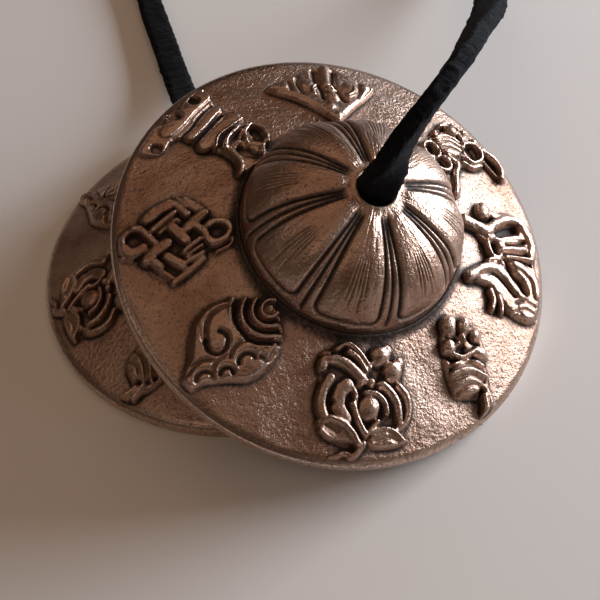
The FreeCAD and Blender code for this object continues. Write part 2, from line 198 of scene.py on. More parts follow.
@dataclass
class Skin:
    """A surface ready to be a mesh: points in millimetres, faces of any size, values per point."""

    points: np.ndarray
    faces: list[np.ndarray]
    values: dict[str, np.ndarray]

    def piece(self, name: str, material: bpy.types.Material) -> bpy.types.Object:
        """Make the object, at the origin, with smooth faces.

        Args:
            name: The piece's name.
            material: Its finish.

        Returns:
            The new object.
        """
        mesh = bpy.data.meshes.new(name)
        mesh.vertices.add(len(self.points))
        mesh.vertices.foreach_set("co", (self.points * MM).astype(np.float32).ravel())
        counts = np.concatenate([np.full(len(f), f.shape[1]) for f in self.faces])
        corners = np.concatenate([f.ravel() for f in self.faces])
        mesh.loops.add(len(corners))
        mesh.loops.foreach_set("vertex_index", corners.astype(np.int32))
        mesh.polygons.add(len(counts))
        starts = np.concatenate([[0], np.cumsum(counts)[:-1]])
        mesh.polygons.foreach_set("loop_start", starts.astype(np.int32))
        mesh.update(calc_edges=True)
        mesh.validate()
        mesh.shade_smooth()
        for key, value in self.values.items():
            layer = mesh.attributes.new(key, "FLOAT", "POINT")
            layer.data.foreach_set("value", np.asarray(value, np.float32).ravel())
        mesh.materials.append(material)
        piece = bpy.data.objects.new(name, mesh)
        bpy.context.scene.collection.objects.link(piece)
        LOG.info("%s: %d points, %d faces", name, len(self.points), len(counts))
        return piece


def ring_faces(rows: int, columns: int, open_rows: bool) -> np.ndarray:
    """Number the quads of a grid whose columns close on themselves, and whose rows may too.

    Args:
        rows: Points along the profile.
        columns: Points around.
        open_rows: Whether the last row doesn't join the first.

    Returns:
        Four corners for each quad.
    """
    row, column = np.meshgrid(np.arange(rows - open_rows), np.arange(columns), indexing="ij")
    up, on = (row + 1) % rows, (column + 1) % columns
    here, above = row * columns, up * columns
    return np.stack([here + column, here + on, above + on, above + column], -1).reshape(-1, 4)


def arc_length(line: np.ndarray) -> np.ndarray:
    """Return the length of a line up to each of its points."""
    return np.concatenate([[0.0], np.cumsum(np.linalg.norm(np.diff(line, axis=0), axis=1))])


# --- Where the two cymbals lie --------------------------------------------------


@dataclass(frozen=True)
class Place:
    """A cymbal's own frame in the pair's: its rim plane's centre, tilt, compass of its low edge, turn."""

    at: tuple[float, float, float]
    tilt: float
    compass: float
    turn: float

    def matrix(self) -> np.ndarray:
        """Turn about the axis by turn, then tip by tilt about the level line across the compass."""
        compass = math.radians(self.compass)
        tip = Matrix.Rotation(math.radians(self.tilt), 3, (-math.sin(compass), math.cos(compass), 0.0))
        return np.array(tip @ Matrix.Rotation(math.radians(self.turn), 3, "Z"))

    def put(self, points: np.ndarray) -> np.ndarray:
        """Carry points from the cymbal's frame to the pair's."""
        return points @ self.matrix().T + np.array(self.at)

    def aim(self, direction: tuple[float, float, float]) -> np.ndarray:
        """Carry a direction from the cymbal's frame to the pair's."""
        return self.matrix() @ np.array(direction)


@dataclass(frozen=True)
class CastingSizes:
    """The casting's sizes, along and across its own axis, Z = 0 at the rim.

    The mouth's rounding is given as shares of the mouth's breadth and drop, the dome's sunk foot as
    distances inward and down, and the rim's rounding as angles.
    """

    rim_radius: float = 32.5
    rim_height: float = 2.2
    rim_wear: float = 0.5
    ring: tuple[float, float] = (30.0, 28.8)
    ring_rise: float = 1.2
    foot_radius: float = 16.3
    crown_arc: float = 21.7
    crown_z: float = -0.83
    shoulder_arc: float = 11.7
    dome_wall: float = 2.6
    flange_wall: float = 2.2
    fillet: float = 1.1
    hole: float = 2.65
    mouth: tuple[float, float] = (0.45, 0.6)
    mouth_round: tuple[Point, ...] = ((0.0, 1.0), (0.12, 0.5), (0.45, 0.12))
    sunk_foot: tuple[Point, ...] = ((0.1, 0.8), (1.2, 1.2))
    rim_bends: tuple[float, ...] = (70.0, 45.0, 20.0)

    def shoulder(self) -> tuple[float, float]:
        """Centre of the shoulder arc: tangent to the crown's and upright at the foot."""
        r = self.foot_radius - self.shoulder_arc
        return r, self.crown_z + math.sqrt((self.crown_arc - self.shoulder_arc) ** 2 - r**2)

    def slope(self) -> float:
        """Rise of the flange per millimetre towards the dome."""
        return (self.shoulder()[1] - self.rim_height) / (self.rim_radius - self.foot_radius)

    def flange(self, r: np.ndarray) -> np.ndarray:
        """Height of the flange's upper face: a cone from the rim to the dome's foot."""
        return self.rim_height + self.slope() * (self.rim_radius - r)

    def dome_angles(self) -> tuple[float, float]:
        """Angles of the dome's line at the mouth and where crown meets shoulder."""
        r, z = self.shoulder()
        return math.acos((self.hole + self.mouth[0]) / self.crown_arc), math.atan2(z - self.crown_z, r)

    def dome_lengths(self) -> tuple[float, float]:
        """Lengths of the crown's and the shoulder's arcs."""
        start, join = self.dome_angles()
        return self.crown_arc * (start - join), self.shoulder_arc * join

    def dome(self, along: np.ndarray, sunk: float = 0.0) -> tuple[np.ndarray, np.ndarray, np.ndarray]:
        """Follow the dome's line from its mouth: the crown's arc, then the shoulder's.

        Args:
            along: Distances along the outer line.
            sunk: How far below the outer surface.

        Returns:
            Radius, height and the angle of the outward normal above level.
        """
        start, join = self.dome_angles()
        crown, _ = self.dome_lengths()
        r, z = self.shoulder()
        on_crown = along < crown
        angle = np.where(on_crown, start - along / self.crown_arc, join - (along - crown) / self.shoulder_arc)
        size = np.where(on_crown, self.crown_arc, self.shoulder_arc) - sunk
        radius = np.where(on_crown, 0.0, r) + size * np.cos(angle)
        height = np.where(on_crown, self.crown_z, z) + size * np.sin(angle)
        return radius, height, angle


# --- Relief: how the symbols are raised --------------------------------------------


SUNK = 0.3  # how far the symbols' sunken base lies under the flange
SKIN = 0.02  # what a cut leaves over the flange


@dataclass(frozen=True)
class Strand:
    """A raised strand along a curve: a round-topped bar with drafted sides."""

    line: tuple[Point, ...]
    width: float = 1.3
    height: float = 1.1
    rises: tuple[float, ...] = ()
    closed: bool = False
    crown: float = 0.45

    shoulder = 0.86  # share of the half width where the side starts
    side_run = 0.34

    def lay(self, field: np.ndarray, x: np.ndarray, y: np.ndarray) -> np.ndarray:
        """Raise the field: height times one less crown plus crown times the root of one less the square
        of distance over half width, then a straight side down to the sunken base.

        Args:
            field: Heights so far.
            x: Grid of x.
            y: Grid of y.

        Returns:
            The heights with the strand.
        """
        away, share = line_distance(x, y, smooth_line(self.line, self.closed))
        top = self.height
        if self.rises:
            top = np.interp(share, np.linspace(0.0, 1.0, len(self.rises)), self.rises) * self.height
        half = self.width / 2
        arch = top * (1.0 - self.crown + self.crown * np.sqrt(np.clip(1.0 - (away / half) ** 2, 0.0, 1.0)))
        side = 1.0 - ease(half * self.shoulder, half * self.shoulder + self.side_run, away)
        return np.maximum(field, (arch + SUNK) * side - SUNK)


@dataclass(frozen=True)
class Plate:
    """A flat or crowned plate inside a closed curve, with drafted sides."""

    line: tuple[Point, ...]
    height: float = 0.9
    bevel: float = 0.5
    crown: float = 0.0
    straight: bool = False

    outer = 0.18  # how far outside the curve the side starts
    toe = (-0.3, 0.05)
    crown_run = 4.0

    def lay(self, field: np.ndarray, x: np.ndarray, y: np.ndarray) -> np.ndarray:
        """Raise the field: a side that climbs over the bevel, and a crown that grows with the root of
        the distance from the edge.

        Args:
            field: Heights so far.
            x: Grid of x.
            y: Grid of y.

        Returns:
            The heights with the plate.
        """
        line = np.array(self.line + self.line[:1]) if self.straight else smooth_line(self.line, True)
        away, _ = line_distance(x, y, line)
        depth = np.where(inside(x, y, line), away, -away)
        crown = self.crown * np.sqrt(np.clip(depth, 0.0, self.crown_run) / self.crown_run)
        top = self.height * ease(-self.outer, self.bevel, depth) + crown
        return np.maximum(field, (top + SUNK) * ease(*self.toe, depth) - SUNK)


@dataclass(frozen=True)
class Knob:
    """A round boss."""

    at: Point
    radius: float = 1.0
    height: float = 1.2

    upright = 0.35  # share of the height that stands straight up
    shoulder = 0.9
    side_run = 0.3

    def lay(self, field: np.ndarray, x: np.ndarray, y: np.ndarray) -> np.ndarray:
        """Raise the field by the root of one less the square of distance over radius, on a low side."""
        away = np.hypot(x - self.at[0], y - self.at[1])
        round_top = np.sqrt(np.clip(1.0 - (away / self.radius) ** 2, 0.0, 1.0))
        arch = self.height * (self.upright + (1.0 - self.upright) * round_top)
        side = 1.0 - ease(self.radius * self.shoulder, self.radius * self.shoulder + self.side_run, away)
        return np.maximum(field, (arch + SUNK) * side - SUNK)


@dataclass(frozen=True)
class Cut:
    """A line cut into what is raised."""

    line: tuple[Point, ...]
    width: float = 0.45
    depth: float = 0.4
    closed: bool = False

    def lay(self, field: np.ndarray, x: np.ndarray, y: np.ndarray) -> np.ndarray:
        """Lower the field by depth times the bell of distance over width, no lower than the flange."""
        away, _ = line_distance(x, y, smooth_line(self.line, self.closed))
        cut = field - self.depth * bell(away, self.width * 0.75)
        return np.where(field > 0.0, np.maximum(cut, np.minimum(field, SKIN)), field)


@dataclass(frozen=True)
class Eye:
    """A round hollow in what is raised."""

    at: Point
    radius: float = 0.7
    depth: float = 0.8

    def lay(self, field: np.ndarray, x: np.ndarray, y: np.ndarray) -> np.ndarray:
        """Lower the field by depth inside the radius, with a sloping wall, no lower than the flange."""
        away = np.hypot(x - self.at[0], y - self.at[1])
        cut = field - self.depth * (1.0 - ease(self.radius * 0.7, self.radius * 1.15, away))
        return np.where(field > 0.0, np.maximum(cut, np.minimum(field, SKIN)), field)


Stroke = Strand | Plate | Knob | Cut | Eye


def arc(at: Point, radius: float, first: float, last: float, count: int = 9,
        grow: float = 0.0) -> tuple[Point, ...]:
    """Points on an arc or a spiral: the radius grows steadily from radius by grow.

    Args:
        at: Centre.
        radius: Radius at the first point.
        first: Compass of the first point in degrees.
        last: Compass of the last.
        count: Number of points.
        grow: How much the radius grows.

    Returns:
        The points.
    """
    share = np.linspace(0.0, 1.0, count)
    angle = np.radians(first + (last - first) * share)
    size = radius + grow * share
    return tuple(zip(at[0] + size * np.cos(angle), at[1] + size * np.sin(angle)))


@dataclass(frozen=True)
class Symbol:
    """One of the eight symbols: its name, its box on the flange and its strokes in order."""

    name: str
    low: Point
    high: Point
    strokes: tuple[Stroke, ...]

    def heights(self, x: np.ndarray, y: np.ndarray) -> np.ndarray:
        """Lay every stroke in turn over a sunken base.

        Args:
            x: Grid of x.
            y: Grid of y.

        Returns:
            Heights over the flange, below 0 where there is no relief.
        """
        field = np.full(x.shape, -SUNK)
        for stroke in self.strokes:
            field = stroke.lay(field, x, y)
        return field


def parasol() -> Symbol:
    """The parasol: a tall four-cornered canopy whose top is domed and grooved, with a finial."""
    edge = ((-10.1, 24.6), (-7.6, 26.6), (-5.4, 27.7), (-3.4, 29.3), (-0.9, 30.5), (0.7, 30.4), (2.6, 28.9),
            (4.6, 27.6), (7.2, 26.5), (6.6, 25.2), (3.6, 21.9), (0.9, 18.4), (0.0, 17.3), (-1.6, 18.6),
            (-5.2, 21.6), (-8.6, 23.5))
    return Symbol("parasol", (-11.6, 16.0), (8.6, 31.8), (
        Plate(edge, 1.35, 0.55), Knob((-3.9, 25.4), 1.9, 1.75), Knob((2.8, 25.5), 1.8, 1.75),
        Strand(((-0.7, 29.6), (-0.9, 28.0), (-0.9, 25.8)), 1.9, 1.75), Knob((-0.4, 23.2), 1.55, 1.85),
        Knob((-1.1, 20.9), 1.1, 1.7), Knob((-0.1, 19.1), 0.9, 1.6), Knob((-7.6, 24.6), 1.0, 1.5),
        Knob((5.4, 26.2), 0.9, 1.5), Strand(((-3.2, 23.4), (-3.3, 24.4), (-2.6, 25.2)), 0.7, 1.95),
        Strand(((2.0, 23.6), (2.9, 24.4), (3.2, 25.6)), 0.7, 1.95),
        Strand(((-0.9, 24.9), (-0.2, 25.1), (0.5, 24.8)), 0.6, 1.9),
        Cut(((-2.5, 28.6), (-2.5, 26.6), (-1.8, 24.6), (-1.8, 22.4)), 0.5, 0.75),
        Cut(((0.5, 28.6), (0.2, 26.2), (0.8, 23.8), (1.3, 22.4)), 0.5, 0.7),
        Cut(((-5.2, 27.2), (-5.5, 25.4), (-4.9, 23.4)), 0.4, 0.5),
        Cut(((4.4, 27.0), (4.3, 25.2), (3.5, 23.6)), 0.4, 0.5),
        Cut(((-8.6, 25.8), (-7.0, 25.9), (-6.6, 24.0)), 0.4, 0.5),
        Cut(((-8.4, 23.9), (-5.2, 22.4), (-2.0, 19.4)), 0.3, 0.3),
        Cut(((6.2, 25.8), (3.5, 22.6), (0.9, 19.4)), 0.3, 0.3),
    ))


def banner() -> Symbol:
    """The victory banner: a solid block cut into slats, a scalloped edge with holes and an open foot."""
    body = ((-29.1, 13.0), (-28.0, 15.6), (-26.8, 16.8), (-25.1, 17.4), (-24.9, 19.2), (-23.2, 20.2),
            (-22.2, 21.6), (-21.0, 23.6), (-19.5, 24.4), (-18.4, 22.8), (-17.7, 20.9), (-16.2, 19.6),
            (-14.6, 18.4), (-13.0, 17.4), (-11.7, 15.9), (-11.0, 13.6), (-11.9, 12.2), (-12.2, 10.2),
            (-13.4, 8.6), (-15.4, 7.3), (-15.8, 9.0), (-16.9, 10.8), (-18.7, 12.0), (-20.8, 13.2),
            (-23.0, 14.6), (-24.4, 14.0), (-25.4, 12.6), (-27.2, 12.0))
    return Symbol("banner", (-30.4, 6.2), (-9.8, 25.6), (
        Plate(body, 0.75, 0.5), Strand(((-25.0, 15.9), (-22.4, 19.0), (-19.6, 22.6)), 2.3, 1.3, crown=0.25),
        Strand(((-22.0, 14.9), (-20.0, 17.2), (-17.9, 19.9)), 1.7, 1.35, crown=0.25),
        Strand(((-19.9, 13.3), (-18.0, 15.9), (-15.7, 18.1)), 2.5, 1.4, crown=0.2),
        Strand(((-18.6, 12.3), (-17.7, 14.7), (-14.4, 17.7)), 0.5, 1.75),
        Strand(((-17.2, 12.0), (-16.7, 13.9), (-15.0, 16.0)), 0.95, 1.95, crown=0.7),
        Strand(((-14.2, 13.2), (-14.2, 14.9), (-13.3, 16.4)), 0.65, 1.7),
        Strand(((-15.2, 12.9), (-14.9, 14.4), (-14.4, 15.6)), 0.5, 1.4),
        Strand(((-13.4, 16.6), (-12.2, 16.2), (-11.3, 14.6), (-11.3, 13.1)), 0.75, 1.55),
        Strand(((-15.4, 13.1), (-13.6, 13.0), (-12.0, 12.7)), 0.9, 1.2),
        Strand(((-16.6, 12.0), (-15.5, 10.4), (-15.2, 8.8), (-15.4, 7.6)), 1.1, 1.6, crown=0.6),
        Strand(((-12.1, 12.2), (-12.3, 10.4), (-13.4, 9.0)), 0.7, 1.35),
        Strand(((-28.6, 13.8), (-27.3, 16.4), (-25.0, 17.4)), 0.5, 1.05),
        Strand(((-24.9, 19.2), (-22.9, 20.2)), 0.5, 1.05),
        Strand(((-22.4, 21.0), (-20.9, 23.2), (-19.4, 24.0)), 0.5, 1.05),
        Strand(((-25.0, 17.4), (-23.2, 17.9), (-22.4, 19.9), (-20.2, 21.2), (-19.3, 23.4)), 0.5, 1.2),
        Eye((-23.6, 19.1), 1.0, 1.2), Eye((-20.8, 21.9), 0.85, 1.2), Eye((-26.6, 13.3), 0.85, 1.0),
        Eye((-12.6, 15.1), 0.75, 1.3), Eye((-12.3, 14.1), 0.75, 1.3), Eye((-14.9, 11.9), 0.7, 1.3),
        Eye((-13.9, 11.5), 0.85, 1.3), Eye((-13.1, 11.0), 0.7, 1.3),
        Cut(((-22.9, 15.0), (-20.6, 17.7), (-18.4, 20.8)), 0.42, 0.7),
        Cut(((-21.1, 13.9), (-19.1, 16.4), (-17.0, 18.8)), 0.42, 0.7),
        Cut(((-24.0, 14.6), (-21.4, 17.9)), 0.3, 0.15),
    ))


def endless_knot() -> Symbol:
    """The endless knot: one band woven over and under itself, with a loop at each side."""
    return Symbol("endless_knot", (-33.0, -9.6), (-15.4, 5.8), (
        Plate(((-28.6, 1.6), (-25.2, 4.5), (-20.4, 2.2), (-20.0, -4.4), (-24.4, -8.0), (-28.4, -4.6)), 0.1,
            0.4),
        Strand(((-29.6, 0.2), (-30.8, -0.4), (-31.3, -1.6), (-30.7, -3.0)), 1.0, 1.0),
        Strand(((-31.0, -2.6), (-30.0, -3.4), (-28.4, -2.9)), 1.6, 1.05),
        Strand(((-31.2, -4.0), (-29.8, -4.3)), 0.6, 0.5),
        Strand(((-29.8, 0.1), (-29.0, 0.0), (-28.0, -1.0), (-26.9, -2.4)), 1.15, 1.35),
        Strand(((-27.9, 1.5), (-26.7, 2.7), (-25.3, 3.4)), 2.0, 1.3, crown=0.35),
        Strand(((-25.3, 3.9), (-24.0, 3.1), (-22.7, 1.7)), 1.15, 1.35),
        Strand(((-24.1, 4.4), (-22.7, 3.0)), 0.55, 1.1),
        Strand(((-27.1, -0.5), (-25.7, 1.0), (-24.5, 2.0)), 1.05, 1.45),
        Strand(((-26.2, -1.0), (-25.2, 0.2), (-24.2, 1.0), (-23.7, 0.7)), 0.7, 1.15),
        Strand(((-23.0, 4.0), (-21.8, 2.9), (-20.6, 1.8)), 1.4, 1.2),
        Strand(((-20.7, 1.6), (-21.6, 0.6), (-22.6, -0.4)), 1.7, 1.4, crown=0.35),
        Strand(((-20.5, 1.2), (-21.5, 0.3)), 0.5, 1.55),
        Strand(((-24.8, 0.0), (-23.8, -1.1), (-22.9, -2.2)), 1.55, 1.4, crown=0.35),
        Strand(((-21.6, -0.1), (-20.6, -1.2), (-20.1, -2.4), (-18.9, -2.9), (-17.6, -2.3), (-17.3, -1.0),
            (-18.0, 0.0), (-19.2, 0.2), (-20.0, -0.3)), 1.15, 1.4),
        Strand(((-17.4, -0.2), (-16.8, -1.6), (-16.9, -3.2), (-18.8, -4.1)), 0.5, 0.6),
        Strand(((-27.8, -4.6), (-26.9, -3.5), (-25.3, -2.5)), 1.6, 1.35, crown=0.35),
        Strand(((-27.4, -4.5), (-26.7, -5.1), (-26.1, -5.7)), 1.2, 1.45),
        Strand(((-25.3, -4.3), (-24.3, -5.1), (-23.3, -5.8)), 1.35, 1.25),
        Strand(((-25.9, -6.2), (-25.0, -7.0), (-24.4, -7.6)), 0.8, 0.8),
        Strand(((-23.3, -4.1), (-22.3, -3.2), (-21.2, -2.3)), 0.75, 1.45),
        Strand(((-22.9, -4.7), (-21.9, -3.9), (-20.9, -3.2)), 0.6, 1.35),
        Strand(((-22.8, -5.3), (-21.7, -4.8), (-20.7, -4.2)), 0.75, 1.4),
        Strand(((-20.6, -5.0), (-22.2, -6.3), (-24.4, -7.9)), 1.1, 0.95), Eye((-29.5, -1.5), 0.9, 1.2),
        Eye((-18.7, -1.4), 0.95, 1.2),
    ))


def conch() -> Symbol:
    """The conch: a full shell whose whorls coil at its head, with curling scrolls cut in its body."""
    outline = ((-23.5, -22.0), (-22.7, -18.6), (-22.4, -15.6), (-21.6, -13.3), (-20.0, -11.7),
               (-18.0, -11.0), (-16.2, -10.9), (-14.4, -11.2), (-12.4, -11.5), (-11.0, -12.7),
               (-10.2, -14.6), (-10.0, -16.6), (-10.7, -18.7), (-12.2, -20.5), (-14.4, -21.8),
               (-17.2, -21.9), (-20.0, -22.0), (-22.2, -22.9))
    head = (-12.2, -12.9)
    return Symbol("conch", (-25.0, -24.3), (-8.6, -9.6), (
        Plate(outline, 1.0, 0.8, crown=0.75), Strand(arc(head, 5.0, 160, 268, 9), 0.9, 1.95),
        Strand(arc(head, 3.7, 152, 282, 9), 0.85, 1.9), Strand(arc(head, 2.4, 140, 292, 9), 0.8, 1.85),
        Strand(arc(head, 1.2, 60, 330, 9), 0.6, 1.8), Knob(head, 0.6, 1.9),
        Cut(arc(head, 4.35, 146, 290, 11, 0.2), 0.55, 1.5),
        Cut(arc(head, 3.05, 136, 296, 11, 0.1), 0.5, 1.4), Cut(arc(head, 1.8, 100, 310, 11), 0.42, 1.1),
        Cut(arc(head, 0.75, 40, 300, 9), 0.25, 0.5), Knob((-18.8, -16.6), 1.2, 1.85),
        Cut(arc((-18.9, -16.6), 1.5, 175, 440, 13), 0.42, 0.8),
        Cut(((-20.4, -16.4), (-20.5, -14.8), (-19.8, -13.2), (-18.3, -12.2), (-16.9, -12.0)), 0.38, 0.6),
        Cut(((-21.4, -14.6), (-21.0, -16.4), (-20.0, -17.6)), 0.3, 0.3),
        Strand(arc((-15.0, -19.2), 1.6, 185, 35, 9), 0.6, 1.75),
        Strand(arc((-17.6, -20.6), 1.4, 185, 10, 9), 0.6, 1.7),
        Strand(arc((-20.4, -21.2), 1.6, 190, 15, 9), 0.6, 1.6),
        Strand(((-13.6, -18.2), (-12.5, -18.6), (-11.6, -17.8)), 0.6, 1.7),
        Cut(arc((-15.0, -19.3), 1.0, 190, 20, 9), 0.4, 0.75),
        Cut(arc((-17.6, -20.8), 0.85, 190, 0, 9), 0.4, 0.75),
        Cut(arc((-20.4, -21.4), 1.05, 190, 10, 9), 0.4, 0.7),
        Cut(((-13.4, -18.9), (-12.4, -19.4), (-11.4, -18.5)), 0.4, 0.7),
        Cut(arc((-15.0, -19.0), 2.15, 170, 50, 9), 0.35, 0.6),
        Cut(arc((-17.6, -20.5), 1.95, 165, 95, 7), 0.35, 0.5),
        Cut(arc((-20.4, -21.0), 2.15, 170, 70, 7), 0.35, 0.5),
    ))


def lotus() -> Symbol:
    """The lotus: looped petals above, a bud between two pairs of sepals, two leaves and a stem."""
    body = ((-5.0, -20.0), (-3.4, -18.6), (0.4, -19.6), (3.4, -18.2), (5.6, -20.4), (7.0, -23.6),
            (7.0, -27.0), (6.4, -29.8), (1.4, -30.4), (-3.6, -29.4), (-5.2, -26.6), (-5.4, -22.6))
    return Symbol("lotus", (-8.0, -32.2), (9.6, -15.4), (
        Plate(body, 0.3, 0.4),
        Strand(((-3.2, -18.0), (-1.8, -17.4), (-0.2, -18.3), (1.4, -20.3)), 0.75, 1.35),
        Strand(((-1.6, -18.4), (-0.4, -19.2), (0.9, -20.9)), 0.7, 1.5),
        Strand(((-4.9, -20.4), (-4.5, -19.4), (-2.8, -19.5), (-1.2, -20.4), (0.6, -21.9)), 1.4, 1.45),
        Strand(((-4.7, -18.4), (-4.1, -18.3)), 0.6, 0.7), Knob((2.9, -18.5), 1.45, 1.7),
        Knob((3.8, -17.7), 0.9, 1.3), Knob((4.7, -20.5), 1.5, 1.7), Knob((5.6, -19.3), 0.9, 1.25),
        Strand(((1.0, -20.4), (1.7, -19.6), (2.6, -19.7)), 0.8, 1.3),
        Strand(((-3.8, -21.8), (-4.8, -23.2), (-5.0, -25.0), (-4.5, -26.6)), 1.4, 1.4),
        Strand(((-1.6, -22.6), (-2.6, -23.6), (-2.7, -25.2), (-1.7, -26.7)), 1.9, 1.4, crown=0.3),
        Strand(((-1.2, -22.2), (-0.4, -23.6), (-0.6, -25.0)), 0.8, 1.3), Knob((0.2, -22.3), 0.65, 1.55),
        Knob((1.7, -22.2), 0.7, 1.6), Knob((3.1, -22.4), 0.65, 1.55),
        Strand(((1.0, -23.4), (2.5, -23.6), (3.7, -24.6), (4.0, -25.8)), 0.75, 1.6),
        Knob((1.5, -25.3), 1.65, 1.65), Strand(((-0.8, -24.8), (-0.2, -26.3), (1.3, -28.5)), 0.9, 1.55),
        Strand(((2.8, -26.8), (2.0, -27.8), (1.3, -28.7)), 0.7, 1.5),
        Strand(((3.3, -22.3), (4.6, -23.2), (5.6, -24.6), (5.9, -26.6)), 1.1, 1.5),
        Strand(((5.7, -22.2), (7.0, -23.4), (7.5, -25.2), (6.9, -27.0), (5.4, -27.9)), 1.0, 1.15),
        Plate(((-5.6, -26.8), (-3.6, -26.4), (-1.4, -27.4), (0.2, -29.8), (-1.6, -29.5), (-3.6, -29.4),
            (-5.0, -28.4)), 0.85, 0.4, 0.2),
        Plate(((1.3, -29.3), (2.4, -28.0), (3.8, -27.6), (5.6, -28.2), (7.1, -29.6), (5.2, -30.3),
            (2.6, -30.3)), 1.1, 0.5, 0.35),
        Strand(((-3.8, -26.5), (-1.9, -27.2), (-0.5, -28.5), (0.2, -29.7)), 0.95, 1.65),
        Strand(((-5.0, -28.0), (-3.4, -29.1), (-1.4, -28.9)), 0.45, 1.15),
        Strand(((2.0, -28.3), (3.5, -27.7), (5.3, -28.2), (6.8, -29.4)), 0.7, 1.5),
        Strand(((1.0, -29.6), (0.2, -30.8), (-0.6, -31.6)), 1.0, 1.15),
        Strand(((-0.6, -31.2), (-1.8, -30.8), (-2.6, -31.3), (-3.4, -31.6)), 0.75, 0.8),
        Eye((3.2, -25.8), 0.45, 0.8), Eye((-3.75, -24.6), 0.4, 0.9), Eye((3.2, -21.2), 0.5, 0.8),
        Cut(((2.4, -29.4), (4.2, -29.0), (5.8, -29.4)), 0.3, 0.3),
        Cut(((-4.4, -27.4), (-2.6, -28.4)), 0.3, 0.3),
    ))


def vase() -> Symbol:
    """The lidded vase: a lumpy lid, a pinched neck, a ribbed belly, and a drip under its spout."""
    belly = arc((16.6, -20.3), 3.0, 0, 330, 12)
    return Symbol("vase", (9.6, -27.6), (22.0, -11.2), (
        Plate(((13.0, -12.6), (16.0, -12.6), (18.6, -13.4), (19.8, -15.6), (19.9, -18.2), (20.4, -21.0),
            (20.6, -24.0), (19.4, -26.4), (18.8, -23.4), (15.0, -23.2), (13.6, -21.0), (12.8, -18.4),
            (12.2, -15.4)), 0.7, 0.5),
        Knob((13.6, -13.8), 1.55, 2.0), Knob((16.2, -13.5), 1.3, 1.8), Knob((18.0, -14.4), 1.0, 1.5),
        Knob((13.5, -16.6), 1.2, 1.9), Knob((15.4, -15.4), 1.0, 1.8), Knob((18.6, -16.9), 1.4, 1.75),
        Strand(((14.2, -17.6), (15.9, -17.8), (17.8, -16.6)), 0.9, 1.75),
        Plate(belly, 1.25, 0.8, crown=0.9), Strand(((14.2, -18.9), (16.4, -18.2), (18.8, -18.9)), 0.6, 2.0),
        Strand(((14.0, -20.1), (16.6, -19.4), (19.4, -20.2)), 0.5, 2.0),
        Strand(((19.0, -21.2), (19.8, -22.2), (20.4, -23.4)), 1.0, 1.4),
        Strand(((19.2, -22.8), (19.6, -24.4), (19.4, -26.2)), 1.3, 1.6),
        Cut(((15.0, -12.8), (14.8, -14.4), (16.0, -16.4)), 0.45, 0.9),
        Cut(((17.2, -13.0), (17.0, -14.8), (18.6, -15.6)), 0.4, 0.7),
        Cut(((13.0, -17.6), (15.4, -18.4), (18.2, -17.7), (19.8, -18.4)), 0.4, 0.7),
        Cut(((14.0, -19.6), (16.6, -18.9), (19.2, -19.6)), 0.35, 0.5),
        Cut(((14.2, -21.0), (16.6, -20.2), (19.2, -20.9)), 0.35, 0.5),
        Cut(((15.0, -22.4), (17.0, -21.4), (18.9, -21.9)), 0.35, 0.4),
        Cut(((18.6, -22.0), (18.7, -24.0)), 0.4, 0.7), Eye((15.5, -16.9), 0.7, 1.3),
        Eye((14.6, -15.4), 0.4, 0.8),
    ))


